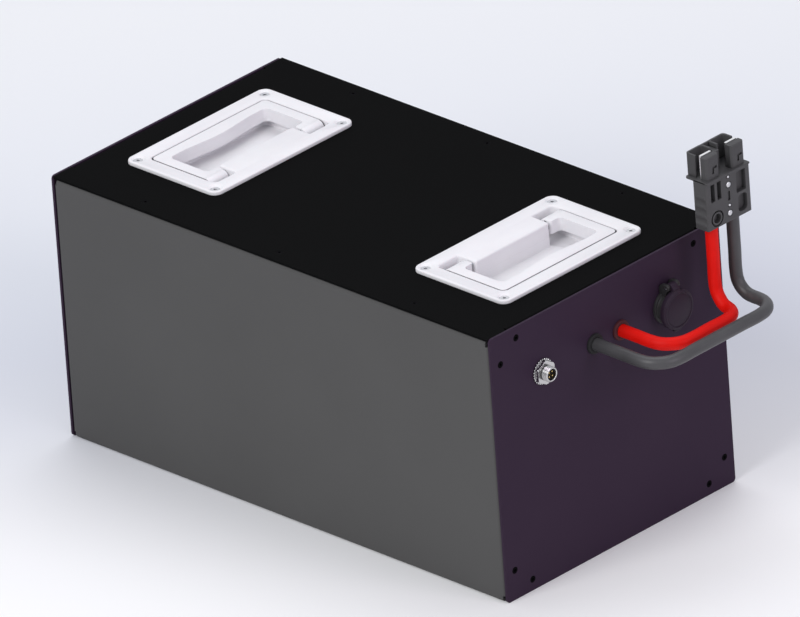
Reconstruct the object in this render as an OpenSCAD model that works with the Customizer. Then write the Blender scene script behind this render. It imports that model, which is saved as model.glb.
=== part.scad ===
// Lithium battery pack in a folded steel case, with two fold-flush carrying handles on top
// and, on one end plate, a data socket, a pair of battery leads and a capped charging port.
// Millimetres. Origin at the centre of the base, +X to the end plate with the leads, +Z up.

/* [Case] */
// Length of the case over both end plates
case_l = 456; // [444:4:500]
// Width of the case
case_w = 248; // [244:2:280]
// Height of the case from its base to the top of the cover
case_h = 220; // [214:2:250]
// Thickness of the sheet steel
sheet = 2; // [1.5:0.5:2.5]
// Outside radius of the bends in the sheet
bend_r = 3; // [3:0.5:4]
// Width of the flanges that the screws go into
flange_w = 20; // [19:1:24]
// Gap between two flanges that meet at a corner
relief = 2; // [1:0.5:4]

/* [Case screws] */
// Thread diameter of the case screws
screw_d = 3; // [2.5:0.5:4]
// Head diameter of the case screws
screw_head_d = 5.6; // [5:0.1:8]
// Length of the case screws
screw_l = 8; // [7:1:12]
// Distance of the cover screws from the long edge
cover_screw_in = 11.5; // [8:0.5:14]
// Distance of the outer cover screws from the middle one
cover_screw_pitch = 140; // [100:5:150]
// Distance of the side screws of an end plate from its side edge
side_screw_in = 10; // [8:0.5:12]
// Height of the side screws above the base, and below the top
side_screw_z = 24; // [18:1:60]
// Distance of the upper and lower end-plate screws from the side edge
edge_screw_in = 28; // [28:1:80]
// Distance of the upper and lower end-plate screws from the top or the base
edge_screw_z = 9; // [8:0.5:12]

/* [Handles] */
// Distance of each handle's centre from the middle of the case
handle_x = 150; // [130:5:160]
// Length of the handle's rim plate, across the case
rim_l = 152; // [148:2:170]
// Width of the handle's rim plate, along the case
rim_w = 96; // [92:2:110]
// Height of the rim plate above the cover
rim_t = 3; // [2:0.5:4]
// Corner radius of the rim plate
rim_r = 7.5; // [5:0.5:9]
// Length of the recess that takes the bail
recess_l = 125; // [120:1:130]
// Width of the recess that takes the bail
recess_w = 69; // [66:1:72]
// Depth of the finger pocket below the rim
pocket_depth = 20; // [16:1:24]
// Wall thickness of the moulded tray
tray_wall = 2.5; // [2:0.5:3]
// Gap between each of the bail's feet and the flat lip
foot_gap = 2; // [1:0.5:4]
// Width of the flat lip, from the recess's end wall
lip_w = 18.5; // [16:0.5:22]
// Width of the ledge that the folded bail rests on
ledge_w = 3; // [2:0.5:5]
// Chamfer round the recess
recess_chamfer = 1.5; // [1:0.5:2]
// Distance between the handle's screws along the case
handle_screw_dx = 81; // [79:1:83]
// Distance between the handle's screws across the case
handle_screw_dy = 137; // [135:1:140]
// Thread diameter of the handle's screws
handle_screw_d = 4; // [3:0.5:5]
// Length of the handle's screws
handle_screw_l = 14; // [10:1:18]

/* [Bail] */
// Thickness of the bail
bail_t = 10.8; // [9:0.2:12]
// Width of the bail's legs
leg_w = 9.3; // [8:0.1:11]
// Width of the grip at its ends
grip_w = 10.3; // [9:0.1:12]
// Extra width in the middle of the grip
grip_swell = 3; // [0:0.5:4]
// Length of each foot along the hinge pin
foot_l = 19.5; // [17:0.5:20]
// Distance of the hinge pin from the recess's end wall
pin_in = 11; // [10:0.5:14]
// Diameter of the hinge pins
pin_d = 4; // [3:0.5:5]
// Chamfer on the bail's inner edge
bail_chamfer = 2.6; // [1:0.2:3]

/* [Fittings on the front plate] */
// Height of all the fittings above the base
fit_z = 173; // [160:1:185]
// Sideways place of the data socket
socket_y = -71; // [-80:1:-60]
// Sideways place of the black lead
black_y = -15; // [-18:1:-12]
// Sideways place of the red lead
red_y = 13; // [10:1:16]
// Sideways place of the charging port
port_y = 63; // [60:1:70]
// Thread diameter of the data socket
socket_d = 12; // [10:1:14]
// Length of the data socket's barrel in front of the plate
socket_out = 10; // [8:0.5:14]
// Length of the data socket's thread, at the end of the barrel
socket_thread = 5.2; // [4:0.2:6]
// Thickness of the data socket's nut
socket_nut_t = 3.2; // [2.5:0.1:4]
// Thickness of the data socket's washer
washer_t = 1.2; // [0.8:0.1:1.5]
// Diameter of the data socket's washer
washer_d = 21; // [19:1:24]
// Diameter of the grommets' collars
grommet_d = 16; // [14:0.5:18]
// Length of a grommet's collar in front of and behind the plate
grommet_t = 2.5; // [2:0.5:4]

/* [Charging port] */
// Diameter of the port's flange
port_flange_d = 28; // [26:1:32]
// Diameter of the port's thread behind the plate
port_thread_d = 20; // [18:1:22]
// Diameter of the port's socket opening
port_bore_d = 15; // [12:0.5:16]
// Distance of the port's rim in front of the plate
port_out = 8.2; // [7:0.2:10]
// Diameter of the flip cap
cap_d = 31.6; // [29:0.2:33]
// Thickness of the flip cap
cap_t = 5.5; // [4:0.5:7]
// Diameter of the cap's hinge pin
cap_pin_d = 2; // [1.5:0.5:2.5]

/* [Battery leads and connector] */
// Diameter of the leads over their insulation
lead_d = 10; // [8:0.1:11]
// Width of the connector across its two poles
conn_w = 47; // [45:0.5:50]
// Depth of the connector's lower body
conn_d = 17; // [16:0.5:20]
// Height of the connector's lower body
conn_body_h = 40.5; // [36:0.5:46]
// Height of the connector's mating end
conn_mate_h = 18.5; // [15:0.5:22]
// Wall thickness of the connector's housing
conn_wall = 1.8; // [1.5:0.1:2.2]

/* [Cells] */
// Thickness of the foam on both sides of the module
foam_t = 7.8; // [7:0.1:12]
// Width of one cell
cell_w = 148; // [140:1:150]
// Height of one cell without its terminals
cell_h = 130; // [110:1:134]
// Gap between neighbouring cells, taken by insulation
cell_gap = 0.6; // [0.3:0.1:0.9]
// Thickness of the aluminium plates that clamp the module
clamp_t = 5; // [4:0.5:6]
// Diameter of the tie rods
rod_d = 5; // [4:1:6]
// Thickness of the base pad under the cells
pad_t = 3; // [2:0.5:5]

/* [Electronics] */
// Height of the management board
bms_h = 120; // [90:5:140]
// Width of the management board
bms_w = 150; // [120:5:170]
// Number of fins on the heatsink
fin_count = 11; // [6:1:13]
// Length of the main fuse's body
fuse_l = 34; // [28:1:40]
// Width of the main fuse's body
fuse_w = 16; // [12:1:20]
// Diameter of the posts that the leads are bolted to
post_d = 12; // [10:0.5:14]
// Width of the bracket's shelf
shelf_w = 80; // [78:1:100]
// Length of the bracket's shelf
shelf_l = 34; // [32:1:40]
// Length of the bracket's foot
foot_x = 30; // [28:1:36]

/* [Hidden] */
$fn = 64;
cell_count = 16;
row_len = cell_count / 2;
CELLS = [for (i = [1 : cell_count]) str("cell_", i < 10 ? "0" : "", i)];

// Planes and clearances
plate_x = case_l / 2;
gap = 0.3;
snug = 0.05;
eps = 0.01;
in_x = plate_x - sheet;
top_z = case_h - sheet;
flange_y = case_w / 2 - flange_w - relief;
black = [0.08, 0.08, 0.085];
steel_grey = [0.33, 0.33, 0.34];
plum = [0.23, 0.18, 0.23];
white = [0.93, 0.92, 0.94];
zinc = [0.75, 0.75, 0.77];

// Places of the screws, as [along, up] pairs seen from outside the panel
cover_screws = [for (sy = [-1, 1], i = [-1 : 1])
    [i * cover_screw_pitch, sy * (case_w / 2 - cover_screw_in)]];
end_screws = concat(
    [for (sy = [-1, 1], z = [side_screw_z, case_h - side_screw_z])
        [sy * (case_w / 2 - side_screw_in), z]],
    [for (sy = [-1, 1], z = [edge_screw_z, case_h - edge_screw_z])
        [sy * (case_w / 2 - edge_screw_in), z]]);
countersink = (screw_head_d - screw_d) / 2;
nut_t = 2.5;
nut_d = screw_d + 3.4;

// Handle, in its own frame: u towards the grip, v along the hinge
rim_z = case_h + rim_t;
bail_top = rim_z - 0.5;
bail_low = bail_top - bail_t;
pin_z = bail_top - bail_t / 2;
wall_u = recess_w / 2;
pin_u = pin_in - wall_u;
foot_u = 6.5;
bail_v = recess_l / 2 - 1;
lip_l = 2 * (bail_v - foot_l - foot_gap);
lip_u = lip_w - wall_u;
floor_z = rim_z - pocket_depth;
bail_u = wall_u - 1;
cut_w = recess_w + 2 * tray_wall + 2;
cut_l = recess_l + 2 * tray_wall + 2;

// Data socket's neck, narrower than its thread
socket_neck = socket_d - 0.6;

// Charging port and its hinge
cap_x = plate_x + port_out + gap;
hinge_x = cap_x - 1.5;
hinge_z = fit_z + cap_d / 2 + 2.7;
ear_r = 2.5;
knuckle_l = 6.4;
ear_t = 3;

// Routes of the leads from the plate's outer face, chosen by hand
red_route = [[0, 0, 0], [16.5, 0, 0], [33, 0, 0], [40.5, 1.5, 0], [47, 6, 0], [51.5, 12.5, 0],
    [53, 20, 0], [53, 39.5, 0], [53, 59.5, 0], [52, 64.5, 0], [49.5, 69, 0], [45.5, 72.5, 0],
    [40.5, 74.5, 0], [36, 75, 1], [31, 76, 4.5], [27.5, 76.5, 10], [26.5, 76.5, 16],
    [26.5, 76.5, 34.5], [26.5, 76.5, 53], [26.5, 76.5, 71.5]];
black_route = [[0, 0, 0], [16, 0, 0], [32, 0, 0], [47.5, 0, 0], [55, 1.5, 0], [61.5, 6, 0],
    [66, 12.5, 0], [67.5, 20, 0], [67.5, 37.5, 0], [67.5, 55.5, 0], [67.5, 73, 0], [67.5, 91, 0],
    [67.5, 108.5, 0], [66, 116, 0], [62, 122, 0], [56, 126, 0], [48.5, 127.5, 0],
    [42.5, 127.5, 0], [36.5, 127.5, 1], [31, 127.5, 4.5], [27.5, 127.5, 10], [26.5, 127.5, 16],
    [26.5, 127.5, 34.5], [26.5, 127.5, 53], [26.5, 127.5, 71.5]];
red_end = red_route[len(red_route) - 1];
black_end = black_route[len(black_route) - 1];

// Connector, from the ends of the leads
lead_in = 6;
conn_x = plate_x + red_end[0];
conn_y = (red_y + red_end[1] + black_y + black_end[1]) / 2;
conn_z = fit_z + red_end[2] - lead_in;
conn_pitch = black_y + black_end[1] - red_y - red_end[1];
mate_z = conn_z + conn_body_h;
pole_w = 17.5;
pole_out = conn_w / 2 - 2.9;
tongue_w = 14;
blade_w = 11;
mid_x = conn_x + 9.5 - conn_d / 2;
rivet_z = [[7, 4.6], [13.5, 2.2], [30.5, 4.6], [37, 2.2]];

// Cell module
stack_w = case_w - 2 * (sheet + foam_t + clamp_t);
cell_pitch = stack_w / row_len;
cell_t = cell_pitch - cell_gap;
rod_gap = 14;
cell_z = sheet + pad_t;
module_x = -in_x + 8;
column_x = [module_x + rod_gap + cell_w / 2, module_x + 2 * rod_gap + 1.5 * cell_w];
module_end = module_x + 3 * rod_gap + 2 * cell_w;
clamp_y = stack_w / 2 + clamp_t;
terminal_x = cell_w / 2 - 24;
terminal_h = 4;
bar_t = 2;

// Electronics bay, between the module and the front plate
bay_x = module_end + 8;
post_x = bay_x + shelf_l / 2 + 1;
board_gap = 6;
board_t = 1.6;
board_x = bay_x + sheet + board_gap;
sink_in = bms_h / 10;
link_z = cell_z + cell_h + terminal_h + 4;
board_z = link_z - 3 + sink_in - bms_h;
sink_t = 4;
fin_h = 13;
bracket_top = fit_z - lead_d / 2 - 6;

// Rectangle with round corners, centred
module round_rect(l, w, r) {
    square([l - 2 * r, w], center = true);
    square([l, w - 2 * r], center = true);
    for (sx = [-1, 1], sy = [-1, 1])
        translate([sx * (l / 2 - r), sy * (w / 2 - r)])
            circle(r = r);
}

// Block with round upright edges, centred on Z, standing on z
module round_block(l, w, r, z, h) {
    translate([0, 0, z])
        linear_extrude(height = h)
            round_rect(l, w, r);
}

// Closed ring of sheet with bent corners
module sheet_ring(l, w) {
    difference() {
        round_rect(l, w, bend_r);
        round_rect(l - 2 * sheet, w - 2 * sheet, bend_r - sheet);
    }
}

// Box given by its low and high corners
module box(low, high) {
    translate(low)
        cube(high - low);
}

// Rod along +X, from x to x + h
module rod_x(d, x, h, y = 0, z = 0) {
    translate([x, y, z])
        rotate([0, 90, 0])
            cylinder(d = d, h = h);
}

// Rod along Y, centred
module rod_y(d, x, z, l) {
    translate([x, 0, z])
        rotate([90, 0, 0])
            cylinder(d = d, h = l, center = true);
}

// Puts its child, drawn pointing down through the cover, at each cover screw
module at_cover_screws() {
    for (p = cover_screws)
        translate([p[0], p[1], case_h])
            children();
}

// Puts its child at each screw of the end plate at side s, turned to point into the case
module at_end_screws(s) {
    for (p = end_screws)
        translate([s * plate_x, p[0], p[1]])
            rotate([0, s * 90, 0])
                children();
}

// Countersunk screw hole through one sheet, top at the origin
module screw_hole() {
    translate([0, 0, -sheet - 1])
        cylinder(d = screw_d + 0.4, h = sheet + 2);
    translate([0, 0, -countersink])
        cylinder(d1 = screw_d + 0.4, d2 = screw_head_d + 0.4, h = countersink + eps);
}

// Countersunk screw with a hexagon socket
module case_screw() {
    difference() {
        union() {
            translate([0, 0, -countersink - 0.1])
                cylinder(d1 = screw_d, d2 = screw_head_d, h = countersink);
            translate([0, 0, -screw_l])
                cylinder(d = screw_d, h = screw_l - countersink);
        }
        translate([0, 0, -countersink])
            cylinder(d = screw_head_d * 0.4, h = countersink + 1, $fn = 6);
    }
}

// Clinch nut pressed into a flange that lies one sheet below the origin
module clinch_nut() {
    difference() {
        union() {
            translate([0, 0, -2 * sheet])
                cylinder(d = nut_d - 2, h = sheet);
            translate([0, 0, -2 * sheet - nut_t])
                cylinder(d = nut_d, h = nut_t);
        }
        translate([0, 0, -2 * sheet - nut_t - 1])
            cylinder(d = screw_d + 2 * snug, h = sheet + nut_t + 2);
    }
}

// Hole for a clinch nut in that flange
module clinch_hole() {
    translate([0, 0, -2 * sheet - 1])
        cylinder(d = nut_d - 2, h = sheet + 1.5);
}

// Folded case: base, long sides, and flanges turned in along the top and at both ends
module case_body() {
    channel_l = 2 * (in_x - bend_r);
    end_z = bend_r + relief;
    color(steel_grey)
        difference() {
            union() {
                rotate([90, 0, 90])
                    linear_extrude(height = channel_l, center = true)
                        difference() {
                            translate([0, top_z / 2])
                                sheet_ring(case_w, top_z);
                            translate([0, case_h])
                                square([case_w - 2 * flange_w, case_h], center = true);
                        }
                translate([0, 0, end_z])
                    linear_extrude(height = top_z - 2 * end_z)
                        difference() {
                            sheet_ring(2 * in_x, case_w);
                            square([case_l, case_w - 2 * flange_w], center = true);
                        }
                rotate([90, 0, 0])
                    linear_extrude(height = 2 * flange_y, center = true)
                        difference() {
                            translate([0, case_h / 2])
                                sheet_ring(2 * in_x, case_h);
                            translate([0, case_h / 2 + flange_w])
                                square([case_l, case_h], center = true);
                        }
            }
            at_cover_screws()
                clinch_hole();
            for (s = [-1, 1])
                at_end_screws(s)
                    clinch_hole();
        }
}

// Flat cover with a flange turned down at each end and two openings for the handles
module top_cover() {
    color(black)
        difference() {
            union() {
                box([-in_x + bend_r, -case_w / 2, top_z], [in_x - bend_r, case_w / 2, case_h]);
                for (sy = [-1, 1])
                    box([-in_x, sy > 0 ? flange_y + relief : -case_w / 2, top_z],
                        [in_x, sy > 0 ? case_w / 2 : -flange_y - relief, case_h]);
                rotate([90, 0, 0])
                    linear_extrude(height = 2 * flange_y, center = true)
                        difference() {
                            translate([0, case_h / 2])
                                sheet_ring(2 * in_x, case_h);
                            translate([0, case_h / 2 - flange_w])
                                square([case_l, case_h], center = true);
                        }
            }
            at_cover_screws()
                screw_hole();
            for (s = [-1, 1])
                at_end_screws(s)
                    clinch_hole();
            for (s = [-1, 1])
                translate([s * handle_x, 0, 0]) {
                    round_block(cut_w, cut_l, 6, top_z - 1, sheet + 2);
                    at_handle_screws()
                        translate([0, 0, top_z - 1])
                            cylinder(d = handle_screw_d + 0.5, h = sheet + 2);
                }
        }
}

// Flat end plate at side s with countersunk holes
module end_plate(s) {
    color(plum)
        difference() {
            translate([s * (plate_x - sheet / 2), 0, case_h / 2])
                rotate([90, 0, 90])
                    linear_extrude(height = sheet, center = true)
                        round_rect(case_w, case_h, bend_r);
            at_end_screws(s)
                screw_hole();
            children();
        }
}

module front_end_plate() {
    end_plate(1) {
        rod_x(socket_d + 0.2, plate_x - sheet - 1, sheet + 2, socket_y, fit_z);
        rod_x(port_thread_d + 0.2, plate_x - sheet - 1, sheet + 2, port_y, fit_z);
        for (y = [black_y, red_y])
            rod_x(grommet_d - 3, plate_x - sheet - 1, sheet + 2, y, fit_z);
    }
}

module rear_end_plate() {
    end_plate(-1);
}

module case_screws() {
    color(black) {
        at_cover_screws()
            case_screw();
        for (s = [-1, 1])
            at_end_screws(s)
                case_screw();
    }
}

module clinch_nuts() {
    color(zinc) {
        at_cover_screws()
            clinch_nut();
        for (s = [-1, 1])
            at_end_screws(s)
                clinch_nut();
    }
}

// Puts a handle's parts at the front (s = 1) or turned round at the rear (s = -1)
module at_handle(s) {
    rotate([0, 0, s > 0 ? 0 : 180])
        translate([handle_x, 0, 0])
            children();
}

module at_handle_screws() {
    for (su = [-1, 1], sv = [-1, 1])
        translate([su * handle_screw_dx / 2, sv * handle_screw_dy / 2, 0])
            children();
}

// Moulded tray: rim plate, recess for the bail, finger pocket and the flat lip
module handle_tray() {
    body_w = recess_w + 2 * tray_wall;
    body_l = recess_l + 2 * tray_wall;
    lip_v = lip_l / 2;
    head_d = handle_screw_d * 2 + 2.4;
    head_t = (head_d - handle_screw_d) / 2;
    color(white)
        difference() {
            union() {
                hull() {
                    round_block(rim_w, rim_l, rim_r, case_h, rim_t - 1);
                    round_block(rim_w - 1.6, rim_l - 1.6, rim_r - 0.8, case_h, rim_t);
                }
                round_block(body_w, body_l, 6, floor_z - tray_wall, rim_z - floor_z);
            }
            difference() {
                union() {
                    round_block(recess_w, recess_l, 4, bail_low - gap, rim_z);
                    round_block(recess_w - 2 * ledge_w, recess_l - 2 * ledge_w, 4, floor_z, rim_z);
                    hull() {
                        round_block(recess_w, recess_l, 4, rim_z - recess_chamfer, 1);
                        round_block(recess_w + 2 * recess_chamfer, recess_l + 2 * recess_chamfer,
                            4 + recess_chamfer, rim_z, 1);
                    }
                }
                box([-wall_u - 3, -lip_v, floor_z - 1], [lip_u, lip_v, rim_z + 2]);
            }
            box([-wall_u, -lip_v + tray_wall, floor_z - tray_wall - 1],
                [lip_u - tray_wall, lip_v - tray_wall, case_h]);
            at_handle_screws() {
                translate([0, 0, case_h - 1])
                    cylinder(d = handle_screw_d + 0.4, h = rim_t + 2);
                translate([0, 0, rim_z - head_t])
                    cylinder(d1 = handle_screw_d + 0.4, d2 = head_d + 0.4, h = head_t + eps);
            }
            rod_y(pin_d, pin_u, pin_z, recess_l + 2 * tray_wall + 2);
        }
}

// Plan of the bail without its opening, drawn in by e along its outer edges
module bail_plan(e, z, h) {
    l = bail_u - e - pin_u;
    translate([pin_u + l / 2, 0, 0])
        intersection() {
            translate([-4, 0, 0])
                round_block(l + 8, 2 * (bail_v - e), 3.5 - e, z, h);
            translate([0, 0, z + h / 2])
                cube([l, 2 * bail_v + 2, h + 1], center = true);
        }
}

// Opening between the legs, wider at the top by the chamfer, less the swelling of the grip
module bail_opening() {
    in_u = bail_u - grip_w;
    in_v = bail_v - leg_w;
    mid_u = (in_u + pin_u + foot_u) / 2;
    open_w = in_u - pin_u - foot_u;
    difference() {
        translate([mid_u, 0, 0])
            hull() {
                round_block(open_w, 2 * in_v, 4, bail_low - 1, bail_t + 1 - bail_chamfer);
                round_block(open_w + 2 * bail_chamfer + 1, 2 * (in_v + bail_chamfer) + 1,
                    4 + bail_chamfer, bail_top + 0.5, 1);
            }
        hull() {
            swell_prism(0, bail_low - 2, bail_t + 2 - bail_chamfer);
            swell_prism(bail_chamfer, bail_low - 2, bail_t + 2);
        }
        hull() {
            swell_prism(bail_chamfer, bail_low - 2, bail_t + 2);
            swell_prism(bail_chamfer + 2, bail_low - 2, bail_t + 4);
        }
    }
}

// Swelling of the grip, its inner edge drawn back by e
module swell_prism(e, z, h) {
    in_u = bail_u - grip_w + e;
    swell_v = (bail_v - leg_w) * 0.65;
    translate([0, 0, z])
        linear_extrude(height = h)
            polygon([[in_u, -swell_v], [in_u - grip_swell, -7], [in_u - grip_swell, 7], [in_u, swell_v],
                [in_u + 6, swell_v], [in_u + 6, -swell_v]]);
}

// Folding bail: two feet on the hinge pins, two legs and a grip with a swollen middle
module bail() {
    foot_in = bail_v - foot_l;
    color(white)
        difference() {
            union() {
                difference() {
                    hull() {
                        bail_plan(0, bail_low + 1, bail_t - 2.2);
                        bail_plan(1, bail_low, bail_t);
                    }
                    bail_opening();
                    box([pin_u - 1, -foot_in, bail_low - 1], [pin_u + foot_u + 3, foot_in, bail_top + 1]);
                }
                for (sv = [-1, 1])
                    translate([0, sv * (bail_v - foot_l / 2), 0])
                        rod_y(bail_t, pin_u, pin_z, foot_l);
            }
            rod_y(pin_d + 2 * snug, pin_u, pin_z, 2 * bail_v + 2);
        }
}

// Two short pins, held in the tray's walls and running in the bail's feet
module bail_pins() {
    pin_l = (recess_l - lip_l) / 2 + 2 * tray_wall;
    color(zinc)
        for (sv = [-1, 1])
            translate([0, sv * (lip_l / 2 - tray_wall + pin_l / 2), 0])
                rod_y(pin_d, pin_u, pin_z, pin_l);
}

// Countersunk screws that clamp both trays to the cover
module handle_screws() {
    head_d = handle_screw_d * 1.9;
    head_t = (head_d - handle_screw_d) / 2;
    seat_z = rim_z - (handle_screw_d * 2 + 2.4 - head_d) / 2;
    color(zinc)
        for (s = [-1, 1])
            at_handle(s)
                at_handle_screws()
                    difference() {
                        union() {
                            translate([0, 0, seat_z - head_t])
                                cylinder(d1 = handle_screw_d, d2 = head_d, h = head_t);
                            translate([0, 0, seat_z - handle_screw_l])
                                cylinder(d = handle_screw_d, h = handle_screw_l - head_t);
                        }
                        translate([0, 0, seat_z - 1.6])
                            cylinder(d = handle_screw_d * 0.7, h = 3, $fn = 6);
                    }
}

module handle_nuts() {
    nut_af = handle_screw_d * 1.75;
    color(zinc)
        for (s = [-1, 1])
            at_handle(s)
                at_handle_screws()
                    translate([0, 0, top_z - handle_screw_d * 0.8])
                        difference() {
                            cylinder(d = nut_af / cos(30), h = handle_screw_d * 0.8, $fn = 6);
                            translate([0, 0, -1])
                                cylinder(d = handle_screw_d + 2 * snug, h = handle_screw_d + 2);
                        }
}

// Barrel of the data socket: thread at the mouth, neck through the nut, collar behind the plate
module data_socket_shell() {
    color([0.8, 0.8, 0.82])
        difference() {
            union() {
                rod_x(socket_neck, plate_x - sheet - 14, socket_out + sheet + 13, socket_y, fit_z);
                rod_x(socket_d, plate_x + socket_out - socket_thread, socket_thread, socket_y, fit_z);
                rod_x(socket_d + 5, plate_x - sheet - 2, 2, socket_y, fit_z);
            }
            rod_x(socket_d - 3, plate_x + socket_out - 8, 9, socket_y, fit_z);
            rod_x(socket_d - 4, plate_x - sheet - 15, 11, socket_y, fit_z);
        }
}

module data_socket_washer() {
    color(zinc)
        difference() {
            rod_x(washer_d, plate_x, washer_t, socket_y, fit_z);
            rod_x(socket_neck + 2 * snug, plate_x - 1, washer_t + 2, socket_y, fit_z);
        }
}

module data_socket_nut() {
    nut_af = socket_d * 1.45;
    color(zinc)
        difference() {
            translate([plate_x + washer_t, socket_y, fit_z])
                rotate([0, 90, 0])
                    cylinder(d = nut_af / cos(30), h = socket_nut_t, $fn = 6);
            rod_x(socket_neck + 2 * snug, plate_x, washer_t + socket_nut_t + 1, socket_y, fit_z);
        }
}

module data_socket_insert() {
    color(black)
        rod_x(socket_d - 3 - 2 * snug, plate_x + socket_out - 8, 3, socket_y, fit_z);
}

module data_socket_pins() {
    color("gold")
        for (a = [45 : 90 : 315])
            translate([0, socket_y + 2.4 * cos(a), fit_z + 2.4 * sin(a)])
                rod_x(1, plate_x + socket_out - 5, 3.5);
}

// Rubber grommet with a groove that holds the plate
module grommet(y) {
    color(black)
        difference() {
            union() {
                rod_x(grommet_d, plate_x, grommet_t, y, fit_z);
                rod_x(grommet_d - 3, plate_x - sheet, sheet, y, fit_z);
                rod_x(grommet_d, plate_x - sheet - grommet_t, grommet_t, y, fit_z);
            }
            rod_x(lead_d + 2 * snug, plate_x - 10, 20, y, fit_z);
        }
}

// Tube swept along the points of a route, starting at the given place
module lead_tube(route, start) {
    sides = 12;
    n = len(route);
    way = [for (i = [0 : n - 1])
        let (d = route[min(i + 1, n - 1)] - route[max(i - 1, 0)]) d / norm(d)];
    ahead = [for (i = [0 : n - 1]) i == 0 ? [1, 0, 0] : i == n - 1 ? [0, 0, 1] : way[i]];
    rings = [for (i = [0 : n - 1])
        let (t = ahead[i], side = abs(t[2]) > 0.9 ? [0, 1, 0] : [0, 0, 1],
             a = cross(side, t) / norm(cross(side, t)), b = cross(t, a))
        [for (k = [0 : sides - 1])
            start + route[i] + lead_d / 2 * (cos(360 * k / sides) * a + sin(360 * k / sides) * b)]];
    turn = [for (i = [0 : n - 1]) ring_shift(rings, i, sides)];
    points = [for (i = [0 : n - 1], k = [0 : sides - 1]) rings[i][(k + turn[i]) % sides]];
    faces = concat(
        [[for (k = [sides - 1 : -1 : 0]) k]],
        [for (i = [0 : n - 2], k = [0 : sides - 1])
            let (a = i * sides + k, b = i * sides + (k + 1) % sides)
            [a, b, b + sides, a + sides]],
        [[for (k = [0 : sides - 1]) (n - 1) * sides + k]]);
    polyhedron(points = points, faces = [for (f = faces) [for (j = [len(f) - 1 : -1 : 0]) f[j]]]);
}

// How far ring i is turned so that its first point follows on from the ring before it
function ring_shift(rings, i, sides) =
    i == 0 ? 0 :
    let (last = rings[i - 1][ring_shift(rings, i - 1, sides)],
         far = [for (k = [0 : sides - 1]) norm(rings[i][k] - last)])
    search(min(far), far)[0];

module lead_black() {
    color(steel_grey)
        lead_tube(black_route, [plate_x, black_y, fit_z]);
}

module lead_red() {
    color([0.85, 0.06, 0.04])
        lead_tube(red_route, [plate_x, red_y, fit_z]);
}

// The same leads inside the case, with a crimped lug on each
module lead_tails() {
    lug_x = post_x + 8;
    for (y = [black_y, red_y])
        color(y == red_y ? [0.85, 0.06, 0.04] : steel_grey)
            difference() {
                union() {
                    rod_x(lead_d, lug_x + 8, plate_x - lug_x - 8, y, fit_z);
                    rod_x(lead_d - 1, lug_x + 2, 6, y, fit_z);
                    box([post_x - post_d / 2, y - post_d / 2, fit_z - lead_d / 2],
                        [lug_x + 4, y + post_d / 2, fit_z - 3]);
                }
                translate([post_x, y, fit_z - 10])
                    cylinder(d = 6.4, h = 20);
            }
}

// Grey two-pole housing, mating end up
module connector_housing() {
    color([0.4, 0.4, 0.41])
        translate([mid_x, conn_y, 0])
            difference() {
                union() {
                    conn_lower();
                    box([-conn_d / 2 - 5, -conn_w / 2, mate_z - 1.6], [conn_d / 2 + 0.5, conn_w / 2, mate_z]);
                    for (s = [-1, 1])
                        conn_pole(s);
                    box([-13, -2.4, mate_z - 1], [-1, 2.4, mate_z + conn_mate_h - 3]);
                }
                for (s = [-1, 1]) {
                    translate([conn_x - mid_x, s * conn_pitch / 2, 0]) {
                        translate([0, 0, conn_z - 1])
                            cylinder(d = lead_d + 2 * snug, h = lead_in + 1);
                        translate([0, 0, conn_z])
                            cylinder(d = lead_d - 1, h = conn_body_h - 11);
                    }
                    blade_slot(s, gap, 2);
                }
                conn_front();
            }
}

// Lower body with bevelled upright edges and four grip ribs on both sides
module conn_lower() {
    bevel = 1.2;
    slope = 3.5;
    rib_r = 4.1;
    half_d = conn_d / 2;
    half_w = conn_w / 2;
    translate([0, 0, conn_z])
        linear_extrude(height = conn_body_h)
            polygon([[-half_d + slope, -half_w], [half_d - bevel, -half_w], [half_d, -half_w + bevel],
                [half_d, half_w - bevel], [half_d - bevel, half_w], [-half_d + slope, half_w],
                [-half_d, half_w - slope], [-half_d, -half_w + slope]]);
    for (sy = [-1, 1], i = [0 : 3])
        translate([(slope - bevel) / 2, sy * (half_w - rib_r + 0.7), conn_z + 4.2 + 7.6 * i])
            rotate([0, 90, 0])
                cylinder(r = rib_r, h = conn_d - slope - bevel - 1, center = true);
}

// One pole of the mating end: an open hood behind a grooved tongue
module conn_pole(s) {
    y0 = s > 0 ? pole_out - pole_w : -pole_out;
    back = -conn_d / 2 - 6;
    top = mate_z + conn_mate_h;
    difference() {
        box([back, y0, mate_z - 1], [back + 10, y0 + pole_w, top]);
        box([back + conn_wall, y0 + conn_wall, mate_z],
            [back + 11, y0 + pole_w - conn_wall, top + 1]);
    }
    tongue_y = s > 0 ? pole_out - tongue_w : -pole_out;
    translate([0, tongue_y, mate_z - 1])
        difference() {
            linear_extrude(height = conn_mate_h + 1)
                polygon([[0.6, 0], [5.5, 0], [7, 1.5], [7, tongue_w - 1.5], [5.5, tongue_w], [0.6, tongue_w]]);
            box([6, tongue_w / 2 - 1, 9], [8, tongue_w - 3, 11]);
            box([6, tongue_w / 2 - 1, 5], [8, tongue_w / 2 + 1, 10]);
        }
}

// Space of one contact blade, larger by e all round and taller by h
module blade_slot(s, e, h) {
    y = s * (pole_out - tongue_w / 2);
    box([-1.4 - e, y - blade_w / 2 - e, conn_z + 27 - e], [0.6, y + blade_w / 2 + e, mate_z + h]);
}

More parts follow.
